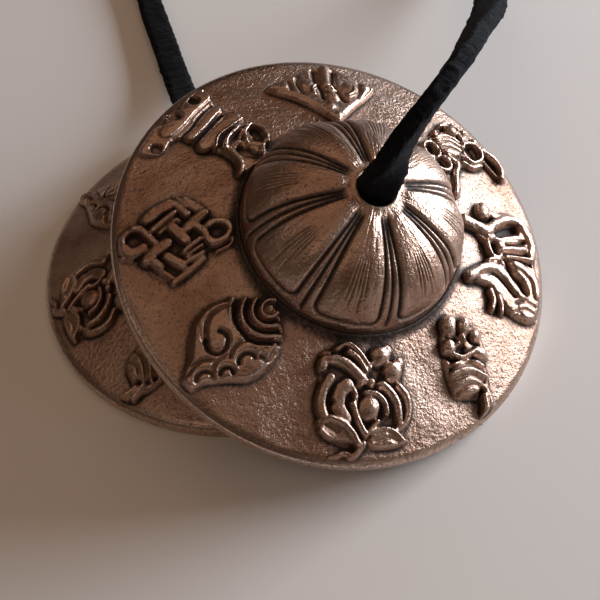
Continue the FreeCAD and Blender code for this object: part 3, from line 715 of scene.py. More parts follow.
def fishes() -> Symbol:
    """The pair of fishes: two curled bodies back to back, with leaf-like fins and a ball between."""
    return Symbol("fishes", (15.4, -13.2), (32.0, 8.4), (
        Plate(((17.2, 3.3), (20.4, 3.6), (22.6, 4.2), (26.0, 6.5), (28.8, 6.1), (30.5, 4.2), (31.1, 1.6),
            (30.4, -1.2), (30.9, -4.0), (30.8, -7.2), (29.6, -9.8), (27.2, -11.2), (24.6, -10.4),
            (22.6, -8.6), (20.8, -7.0), (17.2, -6.6), (17.8, -5.2), (20.2, -4.2), (21.3, -2.4),
            (21.1, -0.4), (19.8, 1.2), (17.8, 2.4)), 1.0, 0.7, crown=0.5),
        Knob((21.6, 5.4), 1.4, 1.9), Strand(((22.4, 5.2), (24.2, 5.2), (26.4, 5.8)), 1.3, 1.5),
        Strand(((17.6, 3.0), (19.8, 2.5), (21.8, 2.2), (23.6, 3.6), (25.6, 4.9), (28.0, 5.0), (29.6, 3.4),
            (30.2, 1.4), (29.6, -0.4)), 1.9, 1.85),
        Strand(((23.0, 0.7), (24.8, 1.4), (26.8, 2.1), (27.8, 2.3)), 1.2, 1.7),
        Strand(((21.8, 1.2), (21.6, -0.4), (22.2, -1.9), (24.4, -1.6)), 0.8, 1.5),
        Strand(((24.0, -0.8), (26.4, 0.1), (28.6, 0.6)), 1.2, 1.75),
        Strand(((24.8, -1.5), (27.0, -1.2), (29.6, -1.1)), 0.8, 1.8),
        Strand(((25.4, -2.3), (27.6, -2.9), (29.4, -4.4), (29.8, -6.6)), 1.7, 1.85),
        Strand(((17.6, -6.0), (19.4, -4.9), (21.6, -4.1), (23.4, -4.6), (25.2, -6.2), (27.2, -7.6)), 1.9,
            1.85),
        Knob((23.4, -3.2), 0.95, 1.95), Strand(((21.0, -2.9), (22.4, -2.4), (24.6, -2.5)), 0.6, 1.5),
        Plate(arc((27.5, -9.0), 2.3, 0, 320, 9), 1.25, 0.8, crown=0.5),
        Strand(((22.4, -7.2), (24.4, -8.2), (26.2, -9.6)), 1.3, 1.3),
        Strand(((21.2, -7.4), (21.6, -8.8), (21.2, -10.2)), 1.0, 1.25),
        Strand(((22.6, -8.0), (23.0, -9.2), (23.0, -10.4)), 0.8, 1.2),
        Cut(((24.0, 2.3), (25.6, 3.2), (27.2, 3.7)), 0.95, 1.8),
        Cut(((25.2, 0.4), (27.0, 0.9), (28.8, 1.9)), 0.35, 0.8),
        Cut(((22.8, 0.0), (22.8, -0.9)), 0.75, 1.7),
        Cut(((24.6, -2.4), (25.4, -4.1), (26.9, -5.2), (27.4, -6.4)), 0.85, 1.7),
        Cut(((24.4, -1.3), (26.6, -0.9), (28.8, -0.5)), 0.35, 0.8),
        Cut(((25.2, -1.8), (27.2, -1.7), (29.4, -1.9)), 0.35, 0.8),
        Cut(((19.4, 2.0), (21.2, 1.0), (22.0, 0.6)), 0.3, 0.4),
        Cut(((19.2, -5.6), (21.4, -4.9), (23.4, -5.9), (25.4, -7.6)), 0.35, 0.5),
        Cut(((25.6, -8.6), (27.4, -8.0), (29.4, -8.4)), 0.35, 0.4),
        Cut(((25.4, -10.0), (27.2, -9.4), (29.2, -9.8)), 0.3, 0.35),
    ))


def ribbon_vase() -> Symbol:
    """The treasure vase: a ribbed belly under a knob, with a looped ribbon and a tail at each side."""
    return Symbol("ribbon_vase", (11.6, 6.0), (28.8, 23.6), (
        Plate(((13.2, 15.6), (14.6, 18.0), (16.6, 21.0), (18.6, 22.4), (21.0, 21.8), (23.6, 19.6),
            (24.8, 17.4), (24.2, 14.8), (21.4, 13.4), (19.0, 13.2), (17.6, 10.8), (16.7, 7.2), (16.2, 9.6),
            (15.4, 11.4), (13.4, 13.0)), 0.5, 0.5),
        Plate(arc((17.9, 17.2), 2.8, 0, 330, 12), 1.1, 0.7, crown=0.8), Knob((18.8, 20.1), 1.25, 2.0),
        Strand(((17.0, 20.6), (18.7, 21.7), (20.4, 20.8)), 0.7, 1.5),
        Strand(((20.0, 19.9), (20.6, 18.6), (20.3, 17.2)), 1.2, 1.6),
        Strand(arc((14.3, 14.8), 1.5, -60, 250, 11), 0.8, 1.5),
        Strand(arc((15.7, 12.8), 1.6, 150, 420, 11), 0.75, 1.45),
        Strand(((17.4, 14.4), (18.6, 13.2), (17.9, 11.0), (16.9, 7.6)), 1.1, 1.5),
        Strand(((20.8, 17.9), (22.6, 18.4), (23.8, 17.2), (23.5, 15.4), (21.8, 14.2), (20.4, 14.9)), 0.9,
            1.65),
        Strand(((19.8, 14.2), (21.6, 13.4), (23.4, 14.2)), 0.6, 1.2),
        Strand(((24.4, 17.8), (26.2, 16.6), (27.2, 14.8), (26.9, 13.2)), 1.2, 1.45),
        Strand(((24.0, 17.0), (24.4, 15.4), (25.6, 13.8), (26.6, 13.1)), 0.5, 0.9),
        Knob((21.4, 20.8), 0.6, 1.2), Knob((23.2, 19.3), 0.75, 1.3), Knob((16.0, 19.2), 0.6, 1.3),
        Cut(((15.6, 18.5), (17.6, 19.2), (20.0, 18.4)), 0.32, 0.5),
        Cut(((15.4, 17.5), (17.6, 18.3), (20.3, 17.5)), 0.32, 0.5),
        Cut(((15.4, 16.5), (17.7, 17.3), (20.4, 16.5)), 0.32, 0.5),
        Cut(((15.9, 15.5), (17.9, 16.2), (20.2, 15.5)), 0.32, 0.45), Eye((14.2, 15.0), 0.7, 1.3),
        Eye((15.6, 12.6), 0.85, 1.3), Cut(((21.7, 17.3), (22.2, 16.2), (21.5, 15.0)), 0.5, 1.4),
        Cut(((24.7, 16.5), (25.3, 15.2), (26.2, 14.0)), 0.5, 1.2),
    ))


SYMBOLS = (parasol, banner, endless_knot, conch, lotus, vase, fishes, ribbon_vase)


class ReliefMap:
    """The symbols' heights over the whole flange on a square grid, with its crests and the darkening of its
    hollows, which is dark patina and painted shade.
    """

    step = 0.1
    block = 4
    cast_blur = 0.09
    hand = 0.10  # how far the hand-drawn lines stray, in lumps of this size
    hand_size = 1.3
    rim_wear = (1.1, 0.45)  # how far from the rim the relief starts to fade, and is gone
    near_blur, far_blur = 0.35, 0.95

    def __init__(self, reach: float) -> None:
        """Work out every symbol once; both castings share the pattern.

        Args:
            reach: Half the grid's side.
        """
        count = int(round(reach / self.step / self.block)) * self.block
        self.axis = np.arange(-count, count + 1) * self.step
        self.symbols = [make() for make in SYMBOLS]
        size = len(self.axis)
        self.height = np.full((size, size), -SUNK)
        wobble_x, wobble_y = (cloud((size, size), self.step, self.hand_size, seed) * self.hand
                              for seed in (5, 6))
        for symbol in self.symbols:
            rows, columns = self.window(symbol)
            x, y = np.meshgrid(self.axis[columns], self.axis[rows])
            heights = symbol.heights(x + wobble_x[rows, columns], y + wobble_y[rows, columns])
            self.height[rows, columns] = np.maximum(self.height[rows, columns], heights)
        worn = ease(reach - self.rim_wear[0], reach - self.rim_wear[1],
                    np.hypot(self.axis[None, :], self.axis[:, None]))
        self.height = soften(self.height * (1.0 - worn) - SUNK * worn, self.step, self.cast_blur)
        raised = np.maximum(self.height, 0.0)
        near, far = soften(raised, self.step, self.near_blur), soften(raised, self.step, self.far_blur)
        narrow, wide = np.clip((near - raised) / 0.35, 0.0, 1.0), np.clip((far - raised) / 0.8, 0.0, 1.0)
        # Darkening of the hollows round and between the raised parts: dark patina, and painted shade where
        # the relief would keep the light out.
        self.patina_and_shade = narrow * 0.7 + wide * 0.55
        self.crest = np.clip((raised - near) / 0.3, 0.0, 1.0) * ease(0.5, 1.3, raised)

    def window(self, symbol: Symbol) -> tuple[slice, slice]:
        """Return the rows and columns of a symbol's box, whole blocks of cells wide."""
        cuts = []
        for low, high in ((symbol.low[1], symbol.high[1]), (symbol.low[0], symbol.high[0])):
            first = int(np.searchsorted(self.axis, low)) // self.block * self.block
            last = int(math.ceil(np.searchsorted(self.axis, high) / self.block)) * self.block
            cuts.append(slice(first, min(last, len(self.axis) - 1) + 1))
        return cuts[0], cuts[1]

    def sample(self, field: np.ndarray, x: np.ndarray, y: np.ndarray) -> np.ndarray:
        """Read a field of the map between its grid points, by the four nearest.

        Args:
            field: One of the map's fields.
            x: Where, in the cymbal's frame.
            y: Where, in the cymbal's frame.

        Returns:
            The field's values there.
        """
        last = len(self.axis) - 1.001
        column = np.clip((x - self.axis[0]) / self.step, 0.0, last)
        row = np.clip((y - self.axis[0]) / self.step, 0.0, last)
        j, i = row.astype(int), column.astype(int)
        v, u = row - j, column - i
        return ((field[j, i] * (1 - u) + field[j, i + 1] * u) * (1 - v)
                + (field[j + 1, i] * (1 - u) + field[j + 1, i + 1] * u) * v)


# --- The castings -----------------------------------------------------------------


@dataclass(frozen=True)
class PetalSizes:
    """The dome's eight petals, the three grooves between each pair and the fine stripes on each.

    A stripe has its place across the petal at the foot, and the share of the way down where it ends.
    """

    count: int = 8
    compass: float = 34.5
    side: tuple[float, float] = (0.46, 1.5)
    tip: float = 3.1
    corner: float = 1.6
    groove: float = 0.27
    depth: float = 0.42
    puff: float = 0.42
    puff_run: float = 1.1
    sunk: float = 0.8
    stripe: float = 0.13
    stripe_depth: float = 0.15
    low_line_depth: float = 0.16
    stripes: tuple[Point, ...] = ((-1.9, 0.66), (-0.9, 0.74), (0.1, 0.62), (1.1, 0.76), (2.0, 0.64))


class Cymbal:
    """One casting: the dome, the flange and the relief pieces, in one cymbal's frame."""

    dome_columns = 1000
    dome_rows = 76
    inner_rows = 16
    flange_columns = 720
    flange_rows = 84
    foot_rows = 18
    under_rows = 14
    # How rough each face is, as cast: the dome, the relief, the underside and the ground rim.
    dome_cast, relief_cast, under_cast, rim_cast = 0.6, 0.55, 0.4, 0.1
    # How much the underside of the dome and of the flange is darkened.
    dome_under, flange_under = 0.35, 0.25
    # Unevenness of each surface: grid step, size of the lumps and height.
    dome_lumps = ((0.25, 0.9, 0.022), (0.1, 0.16, 0.010))
    flange_lumps = ((0.25, 1.5, 0.05), (0.25, 0.5, 0.022))
    relief_lumps = (0.22, 0.014)  # size and height, on the map's own grid
    root = 0.9  # how deep the relief's closed base lies in the metal

    def __init__(self, name: str, body: str, node: str, place: Place, seed: int) -> None:
        """Set up one cymbal.

        Args:
            name: First word of its pieces' names.
            body: The body it rides on.
            node: The plain solid that it replaces.
            place: Where it lies.
            seed: Seed of its surface's unevenness.
        """
        self.name = name
        self.body = body
        self.node = node
        self.place = place
        self.seed = seed
        self.sizes = CastingSizes()
        self.petals = PetalSizes()

    def petal_relief(self, along: np.ndarray, turn: np.ndarray) -> tuple[np.ndarray, np.ndarray, np.ndarray]:
        """Shape the petals. The edge distance is the smooth least of the distances to the petal's side
        and to its tip; a groove runs where it is 0, a thin ridge outside it, and a groove midway
        between two petals. Inside, the petal puffs up with the distance, from a face that is sunk by
        a share of the puff.

        Args:
            along: Distance along the dome's line from its mouth.
            turn: Angle about the axis in radians.

        Returns:
            Height over the plain dome, hollows and crests from 0 to 1.
        """
        p = self.petals
        sector = 2.0 * math.pi / p.count
        length = sum(self.sizes.dome_lengths())
        radius, _, _ = self.sizes.dome(along)
        from_petal = (turn - math.radians(p.compass) + sector / 2) % sector - sector / 2
        from_joint = radius * (sector / 2 - np.abs(from_petal))
        share = along / length
        half = p.side[0] + (p.side[1] - p.side[0]) * ease(0.0, 0.85, share)
        side = from_joint - half
        tip = length - p.tip - along
        gap = np.maximum(p.corner - side, 0.0), np.maximum(p.corner - tip, 0.0)
        edge = np.where((gap[0] > 0) & (gap[1] > 0), p.corner - np.hypot(*gap), np.minimum(side, tip))
        start = ease(0.5, 2.0, along)
        outline = bell(edge, p.groove) * start
        midway = bell(from_joint, p.groove * 0.95) * start * ease(p.tip * 0.45, p.tip * 0.9, length - along)
        stripes = sum(
            bell(from_petal * radius - offset * share, p.stripe) * ease(0.30, 0.42, share)
            * (1 - ease(end - 0.1, end, share))
            for offset, end in p.stripes
        )
        low_line = bell(length - along - p.tip * 0.42, 0.30)
        puff = p.puff * (1.0 - np.exp(-np.maximum(edge, 0.0) / p.puff_run)) * start
        height = puff - p.sunk * p.puff - p.depth * (outline + midway)
        height = height - p.stripe_depth * stripes - p.low_line_depth * low_line
        # Darkening in the grooves, stripes and low line: dark patina, together with painted shade.
        hollow = np.clip(outline * 0.85 + midway * 0.85 + 0.45 * stripes + 0.5 * low_line, 0.0, 1.0)
        lip, ridge = bell(edge - 1.0, 0.6), bell(edge + 0.5, 0.2)
        crest = np.clip(lip * 0.45 + ridge * 0.6, 0.0, 1.0) * start
        return height, hollow, crest

    @staticmethod
    def lumps(shape: tuple[int, int], layers: tuple[tuple[float, float, float], ...],
              seed: int) -> np.ndarray:
        """Add up layers of unevenness.

        Args:
            shape: Rows and columns.
            layers: Grid step, lump size and height of each layer.
            seed: Seed of the first layer; each further layer's is one more.

        Returns:
            The summed heights.
        """
        return sum(cloud(shape, step, size, seed + k) * height
                   for k, (step, size, height) in enumerate(layers))

    def dome(self) -> Skin:
        """Make the dome: a closed profile swept round the axis, its outer rows moved along their normals
        by the petals' relief and a slight unevenness.

        Returns:
            The dome's surface, its foot sunk in the flange.
        """
        s = self.sizes
        length = sum(s.dome_lengths())
        share = np.linspace(0.0, 1.0, self.dome_rows)
        along = length * (1.0 - (1.0 - share) ** 1.35)
        r, z, angle = s.dome(along)
        inner_r, inner_z, _ = s.dome(np.linspace(length, 0.0, self.inner_rows), s.dome_wall)
        inner_r[-1] = s.hole
        wall = np.array([[s.foot_radius - inward, z[-1] - down] for inward, down in s.sunk_foot])
        edge = np.array([[s.hole + s.mouth[0] * out, z[0] - s.mouth[1] * down]
                         for out, down in s.mouth_round])
        profile = np.concatenate([np.stack([r, z], 1), wall, np.stack([inner_r, inner_z], 1), edge])
        rows, columns = len(profile), self.dome_columns
        turn = 2.0 * math.pi * np.arange(columns) / columns
        height, hollow, crest = self.petal_relief(along[:, None], turn[None, :])
        lumps = self.lumps((self.dome_rows, columns), self.dome_lumps, self.seed)
        height = height + lumps * ease(0.0, 1.5, along)[:, None]
        radius = np.repeat(profile[:, :1], columns, 1)
        level = np.repeat(profile[:, 1:], columns, 1)
        radius[: self.dome_rows] += height * np.cos(angle)[:, None]
        level[: self.dome_rows] += height * np.sin(angle)[:, None]
        points = np.stack([radius * np.cos(turn), radius * np.sin(turn), level], -1).reshape(-1, 3)
        # Painted shade: a dark band round the dome's foot, where it meets the flange.
        foot = 0.8 * bell(length - along, 0.7)[:, None]
        under = np.ones((rows - self.dome_rows, columns))
        values = {
            "hollow": np.concatenate([np.clip(hollow + foot, 0.0, 1.0), under * self.dome_under]),
            "crest": np.concatenate([crest, under * 0.0]),
            "cast": np.concatenate([np.full(hollow.shape, self.dome_cast), under * self.under_cast]),
        }
        return Skin(self.place.put(points), [ring_faces(rows, columns, False)[:, ::-1]], values)

    def flange(self, relief: ReliefMap) -> Skin:
        """Make the flange and rim: a closed profile swept round the axis, its upper face uneven as cast,
        with a small fillet up to the dome.

        Args:
            relief: The symbols' map, for the dark patina and painted shade in the hollows round them.

        Returns:
            The flange's surface.
        """
        s = self.sizes
        inner_edge, fine_edge, fine = s.foot_radius - 1.0, s.foot_radius + 2.0, self.foot_rows
        outer_edge = s.rim_radius - s.rim_wear
        top_r = np.concatenate([np.linspace(inner_edge, fine_edge, fine)[:-1],
                                np.linspace(fine_edge, outer_edge, self.flange_rows - fine + 1)])
        top_z = s.flange(top_r)
        climb = np.clip(s.fillet - (top_r - s.foot_radius), 0.0, s.fillet)
        top_z = top_z + (s.fillet - np.sqrt(s.fillet**2 - climb**2)) * (top_r > s.foot_radius - 0.2)
        top_z[0] = s.flange(top_r[0]) - 0.6
        bend = np.radians(np.array(s.rim_bends))
        shoulder = np.stack([s.rim_radius - s.rim_wear * (1 - np.cos(bend)),
                             s.rim_height - s.rim_wear * (1 - np.sin(bend))], 1)
        sole = np.stack([s.rim_radius - s.rim_wear * (1 - np.cos(bend[::-1])),
                         s.rim_wear * (1 - np.sin(bend[::-1]))], 1)
        wall = s.flange_wall / math.cos(math.atan(s.slope()))
        inner = s.foot_radius - s.dome_wall
        under_r = np.linspace(s.ring[1], inner, self.under_rows)
        lower = np.concatenate([
            [[s.rim_radius, s.rim_height - s.rim_wear], [s.rim_radius, s.rim_wear]], sole,
            [[outer_edge, 0.0], [s.ring[0] + 0.2, 0.0],
             [s.ring[0], 0.05], [s.ring[1] + 0.1, s.ring_rise]],
            np.stack([under_r, s.flange(under_r) - wall], 1)])
        profile = np.concatenate([np.stack([top_r, top_z], 1), shoulder, lower])
        rows, columns, top = len(profile), self.flange_columns, len(top_r)
        turn = 2.0 * math.pi * np.arange(columns) / columns
        lumps = self.lumps((top, columns), self.flange_lumps, self.seed + 2)
        level = np.repeat(profile[:, 1:], columns, 1)
        level[:top] += lumps * (ease(s.foot_radius, s.foot_radius + 1.0, top_r)
                                * (1 - ease(s.rim_radius - 1.4, s.rim_radius - 0.6, top_r)))[:, None]
        radius = np.repeat(profile[:, :1], columns, 1)
        x, y = radius * np.cos(turn), radius * np.sin(turn)
        points = np.stack([x, y, level], -1).reshape(-1, 3)
        hollow = np.full((rows, columns), self.flange_under)
        hollow[:top] = relief.sample(relief.patina_and_shade, x[:top], y[:top])
        # Painted shade: a dark ring round the dome's foot.
        hollow[:top] += 0.7 * bell(top_r - s.foot_radius, 0.9)[:, None]
        crest = np.zeros((rows, columns))
        crest[:top] = 0.8 * ease(s.rim_radius - 1.0, s.rim_radius - 0.5, top_r)[:, None]
        rim = slice(top, top + 2 * len(bend) + 2)
        crest[rim] = 1.6
        hollow[rim] = 0.0
        cast = np.ones((rows, columns))
        cast[:top] = 1.0 - 0.9 * ease(s.rim_radius - 1.2, s.rim_radius - 0.4, top_r)[:, None]
        cast[top : rim.stop + 2] = self.rim_cast
        cast[rim.stop + 2 :] = self.under_cast
        values = {"hollow": np.clip(hollow, 0.0, 1.0), "crest": crest, "cast": cast}
        return Skin(self.place.put(points), [ring_faces(rows, columns, False)[:, ::-1]], values)

    def relief(self, symbol: Symbol, relief: ReliefMap) -> Skin:
        """Make one symbol: the map's heights over the flange where it is raised, closed by a coarser base
        inside the metal and by walls between the two.

        Args:
            symbol: The symbol.
            relief: The symbols' map.

        Returns:
            The symbol's surface.
        """
        s = self.sizes
        b = relief.block
        rows, columns = relief.window(symbol)
        heights = relief.height[rows, columns]
        ny, nx = heights.shape
        by, bx = (ny - 1) // b, (nx - 1) // b
        raised = heights > -SUNK * 0.75
        used = np.zeros((by, bx), bool)
        for j in range(b + 1):
            for i in range(b + 1):
                used |= raised[j : j + by * b : b, i : i + bx * b : b]
        used[[0, -1]] = False
        used[:, [0, -1]] = False
        for _ in range(3):
            slant = used[:-1, :-1] & used[1:, 1:] & ~used[:-1, 1:] & ~used[1:, :-1]
            used[:-1, 1:] |= slant
            slant = ~used[:-1, :-1] & ~used[1:, 1:] & used[:-1, 1:] & used[1:, :-1]
            used[:-1, :-1] |= slant
        x, y = np.meshgrid(relief.axis[columns], relief.axis[rows])
        radius = np.hypot(x, y)
        size, amount = self.relief_lumps
        uneven = cloud(heights.shape, relief.step, size, self.seed + len(symbol.name) * 7) * amount
        level = s.flange(np.minimum(radius, s.rim_radius - 0.2)) + heights + uneven
        top = np.stack([x, y, level], -1).reshape(-1, 3)
        base_x, base_y = x[::b, ::b], y[::b, ::b]
        base_z = s.flange(np.minimum(np.hypot(base_x, base_y), s.rim_radius - 0.2)) - self.root
        base = np.stack([base_x, base_y, base_z], -1).reshape(-1, 3)
        fine = np.kron(used, np.ones((b, b), bool))
        j, i = np.nonzero(fine)
        quads = np.stack([j * nx + i, j * nx + i + 1, (j + 1) * nx + i + 1, (j + 1) * nx + i], 1)
        bj, bi = np.nonzero(used)
        low = ny * nx + bj * (bx + 1) + bi
        floor = np.stack([low, low + bx + 1, low + bx + 2, low + 1], 1)
        walls = []
        padded = np.pad(used, 1)
        here = padded[1:-1, 1:-1]
        k = np.arange(b + 1)
        for beside, start, step_j, step_i in (
            (padded[:-2, 1:-1], (0, 0), 0, 1), (padded[1:-1, 2:], (0, 1), 1, 0),
            (padded[2:, 1:-1], (1, 1), 0, -1), (padded[1:-1, :-2], (1, 0), -1, 0),
        ):
            wj, wi = np.nonzero(here & ~beside)
            cj, ci = wj + start[0], wi + start[1]
            upper = (cj[:, None] * b + step_j * k) * nx + ci[:, None] * b + step_i * k
            first = ny * nx + cj * (bx + 1) + ci
            second = ny * nx + (cj + step_j) * (bx + 1) + ci + step_i
            walls.append(np.concatenate([upper[:, ::-1], first[:, None], second[:, None]], 1))
        faces = [quads, floor, *walls]
        points = np.concatenate([top, base])
        filler = np.zeros(len(base))
        values = {
            "hollow": np.concatenate([np.clip(relief.patina_and_shade[rows, columns].ravel(), 0, 1), filler + 1.0]),
            "crest": np.concatenate([relief.crest[rows, columns].ravel(), filler]),
            "cast": np.concatenate([np.full(ny * nx, self.relief_cast), filler + 1.0]),
        }
        kept = np.unique(np.concatenate([f.ravel() for f in faces]))
        renumber = np.full(len(points), -1)
        renumber[kept] = np.arange(len(kept))
        return Skin(self.place.put(points[kept]), [renumber[f] for f in faces],
                    {key: value[kept] for key, value in values.items()})

    def build(self, relief: ReliefMap, metal: bpy.types.Material) -> list[bpy.types.Object]:
        """Build and dress every piece of the casting.

        Args:
            relief: The symbols' map.
            metal: The metal's finish.

        Returns:
            The pieces.
        """
        made = [self.dome().piece(f"{self.name}_dome", metal),
                self.flange(relief).piece(f"{self.name}_flange", metal)]
        for symbol in relief.symbols:
            made.append(self.relief(symbol, relief).piece(f"{self.name}_{symbol.name}", metal))
        for piece in made:
            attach(piece, self.body)
            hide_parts(self.node)
        return made


# --- The lace -----------------------------------------------------------------------


# Unevenness of the leather: size of the lumps, and their height as a share of the section.
NAP_LAYERS = ((1.1, 0.018), (0.35, 0.014), (0.14, 0.026))
FLAT_SIDES = (0.42, 0.5)  # powers of the section's cosine and sine: under 1 flattens its sides


def band(line: np.ndarray, wide: np.ndarray, widths: np.ndarray, thicks: np.ndarray, seed: int,
         around: int = 44) -> Skin:
    """Carry the lace's section along a line: a rounded oblong, whose two ends are closed.

    The section's points are width times the cosine and thickness times the sine of an angle, each
    raised to a power of a half or less so that the sides are nearly flat. A smooth unevenness moves them.

    Args:
        line: Points of the middle, n by 3.
        wide: Width direction at each, n by 3.
        widths: Full widths.
        thicks: Full thicknesses.
        seed: Seed of the unevenness.
        around: Points round the section.

    Returns:
        The lace's surface.
    """
    along = unit(np.gradient(line, axis=0))
    wide = unit(wide - along * (wide * along).sum(1, keepdims=True))
    thick = np.cross(along, wide)
    angle = 2.0 * math.pi * (np.arange(around) + 0.5) / around
    across = np.sign(np.cos(angle)) * np.abs(np.cos(angle)) ** FLAT_SIDES[0]
    out = np.sign(np.sin(angle)) * np.abs(np.sin(angle)) ** FLAT_SIDES[1]
    step = float(arc_length(line)[-1]) / len(line)
    shape = (len(line), around)
    layers = (cloud(shape, step, size, seed + k) * share for k, (size, share) in enumerate(NAP_LAYERS))
    uneven = sum(layers, 1.0)
    points = (line[:, None, :]
              + wide[:, None, :] * (across * uneven * widths[:, None] / 2)[..., None]
              + thick[:, None, :] * (out * uneven * thicks[:, None] / 2)[..., None])
    sides = ring_faces(len(line), around, True)
    ring = np.arange(around)
    ends = [ring[None, ::-1], ring[None, :] + (len(line) - 1) * around]
    # Share towards the side faces, which the finish paints lighter grey as a painted highlight.
    edge = np.repeat(ease(0.75, 1.0, np.abs(across))[None, :], len(line), 0)
    return Skin(points.reshape(-1, 3), [sides, *ends], {"edge": edge})


@dataclass(frozen=True)
class LaceSizes:
    """The lace's section, its route from the flat cymbal's hole to the leaning one's, and its twist."""

    width: float = 4.9
    thickness: float = 2.6
    joint_z: float = 20.3
    flat_exit: float = 101.0
    lean_width: float = -16.0
    twist_run: float = 95.0
    widening: tuple[float, float] = (0.96, 0.09)  # share of the width at the flat cymbal, and what it gains
    samples: int = 1500
    route: tuple[tuple[float, float, float], ...] = (
        (-0.00622, 0.00556, 0.0203), (-0.00622, 0.00556, 0.02175), (-0.00636, 0.00627, 0.02301),
        (-0.0066, 0.0075, 0.02373), (-0.00715, 0.01037, 0.02373), (-0.00817, 0.01557, 0.0214),
        (-0.00977, 0.02382, 0.0146), (-0.01217, 0.03619, 0.0064), (-0.01423, 0.04679, 0.0023),
        (-0.0164, 0.0605, 0.00135), (-0.0196, 0.078, 0.00135), (-0.021, 0.097, 0.00135),
        (-0.0165, 0.1145, 0.00135), (-0.004, 0.1275, 0.00135), (0.013, 0.1325, 0.00135),
        (0.03, 0.1285, 0.00135), (0.042, 0.116, 0.00135), (0.047, 0.0995, 0.00135),
        (0.0466, 0.083, 0.0023), (0.0449, 0.0665, 0.0079), (0.0426, 0.051, 0.015),
        (0.0401, 0.0365, 0.0223), (0.0371, 0.0245, 0.0283), (0.0328, 0.013, 0.0349),
        (0.03, 0.0058, 0.0391), (0.0283, 0.0009, 0.0418), (0.026, -0.0036, 0.0435),
        (0.0227, -0.0078, 0.0436), (0.0192, -0.0108, 0.0419), (0.0161, -0.0123, 0.0384),
        (0.0145995, -0.0124277, 0.0345079), (0.0136028, -0.0115851, 0.0315862),
    )


class Lace:
    """The leather lace's free length, from one knot to the other."""

    def __init__(self, lean: Place) -> None:
        """Set up the lace.

        Args:
            lean: Where the leaning cymbal lies.
        """
        self.sizes = LaceSizes()
        self.lean = lean

    def line(self) -> np.ndarray:
        """Read evenly spaced points, in millimetres, from the NURBS curve of the route."""
        curve = bpy.data.curves.new("lace_route", "CURVE")
        curve.dimensions = "3D"
        spline = curve.splines.new("NURBS")
        spline.points.add(len(self.sizes.route) - 1)
        for point, place in zip(spline.points, self.sizes.route):
            point.co = (*place, 1.0)
        spline.order_u = 3
        spline.use_endpoint_u = True
        spline.resolution_u = 24
        holder = bpy.data.objects.new("lace_route", curve)
        mesh = bpy.data.meshes.new_from_object(holder)
        line = np.empty(len(mesh.vertices) * 3, np.float32)
        mesh.vertices.foreach_get("co", line)
        line = line.reshape(-1, 3).astype(float) / MM
        bpy.data.objects.remove(holder)
        bpy.data.curves.remove(curve)
        bpy.data.meshes.remove(mesh)
        run = arc_length(line)
        at = np.linspace(0.0, run[-1], self.sizes.samples)
        return np.stack([np.interp(at, run, line[:, k]) for k in range(3)], 1)

    def wide(self, line: np.ndarray) -> np.ndarray:
        """Turn the lace's width along its line: level and square to it, then twisted into the hole.

        Args:
            line: Points of the middle.

        Returns:
            The width direction at each point.
        """
        s = self.sizes
        along = unit(np.gradient(line, axis=0))
        out = math.radians(s.flat_exit)
        up = np.array([-0.02 * math.cos(out), -0.02 * math.sin(out), 1.0])
        wide = unit(np.cross(along, up))
        turn = math.radians(s.lean_width)
        last = self.lean.aim((math.cos(turn), math.sin(turn), 0.0))
        twist = math.atan2(np.cross(wide[-1], last) @ along[-1], wide[-1] @ last)
        twist = (twist + math.pi / 2) % math.pi - math.pi / 2
        run = arc_length(line)
        LOG.info("lace: %.1f mm long, twisted %.0f degrees", run[-1], math.degrees(twist))
        return turned(wide, along, twist * ease(run[-1] - s.twist_run, run[-1], run))

    def build(self, suede: bpy.types.Material) -> bpy.types.Object:
        """Args:
            suede: The leather's finish.

        Returns:
            The piece.
        """
        s = self.sizes
        line = self.line()
        run = arc_length(line)
        share = run / run[-1]
        widths = s.width * (s.widening[0] + s.widening[1] * ease(0.55, 0.95, share))
        thicks = np.full(len(line), s.thickness)
        skin = band(line, self.wide(line), widths, thicks, 31)
        piece = skin.piece("lace", suede)
        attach(piece, "strap")
        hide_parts("strap")
        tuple(s.route[0])
        return piece


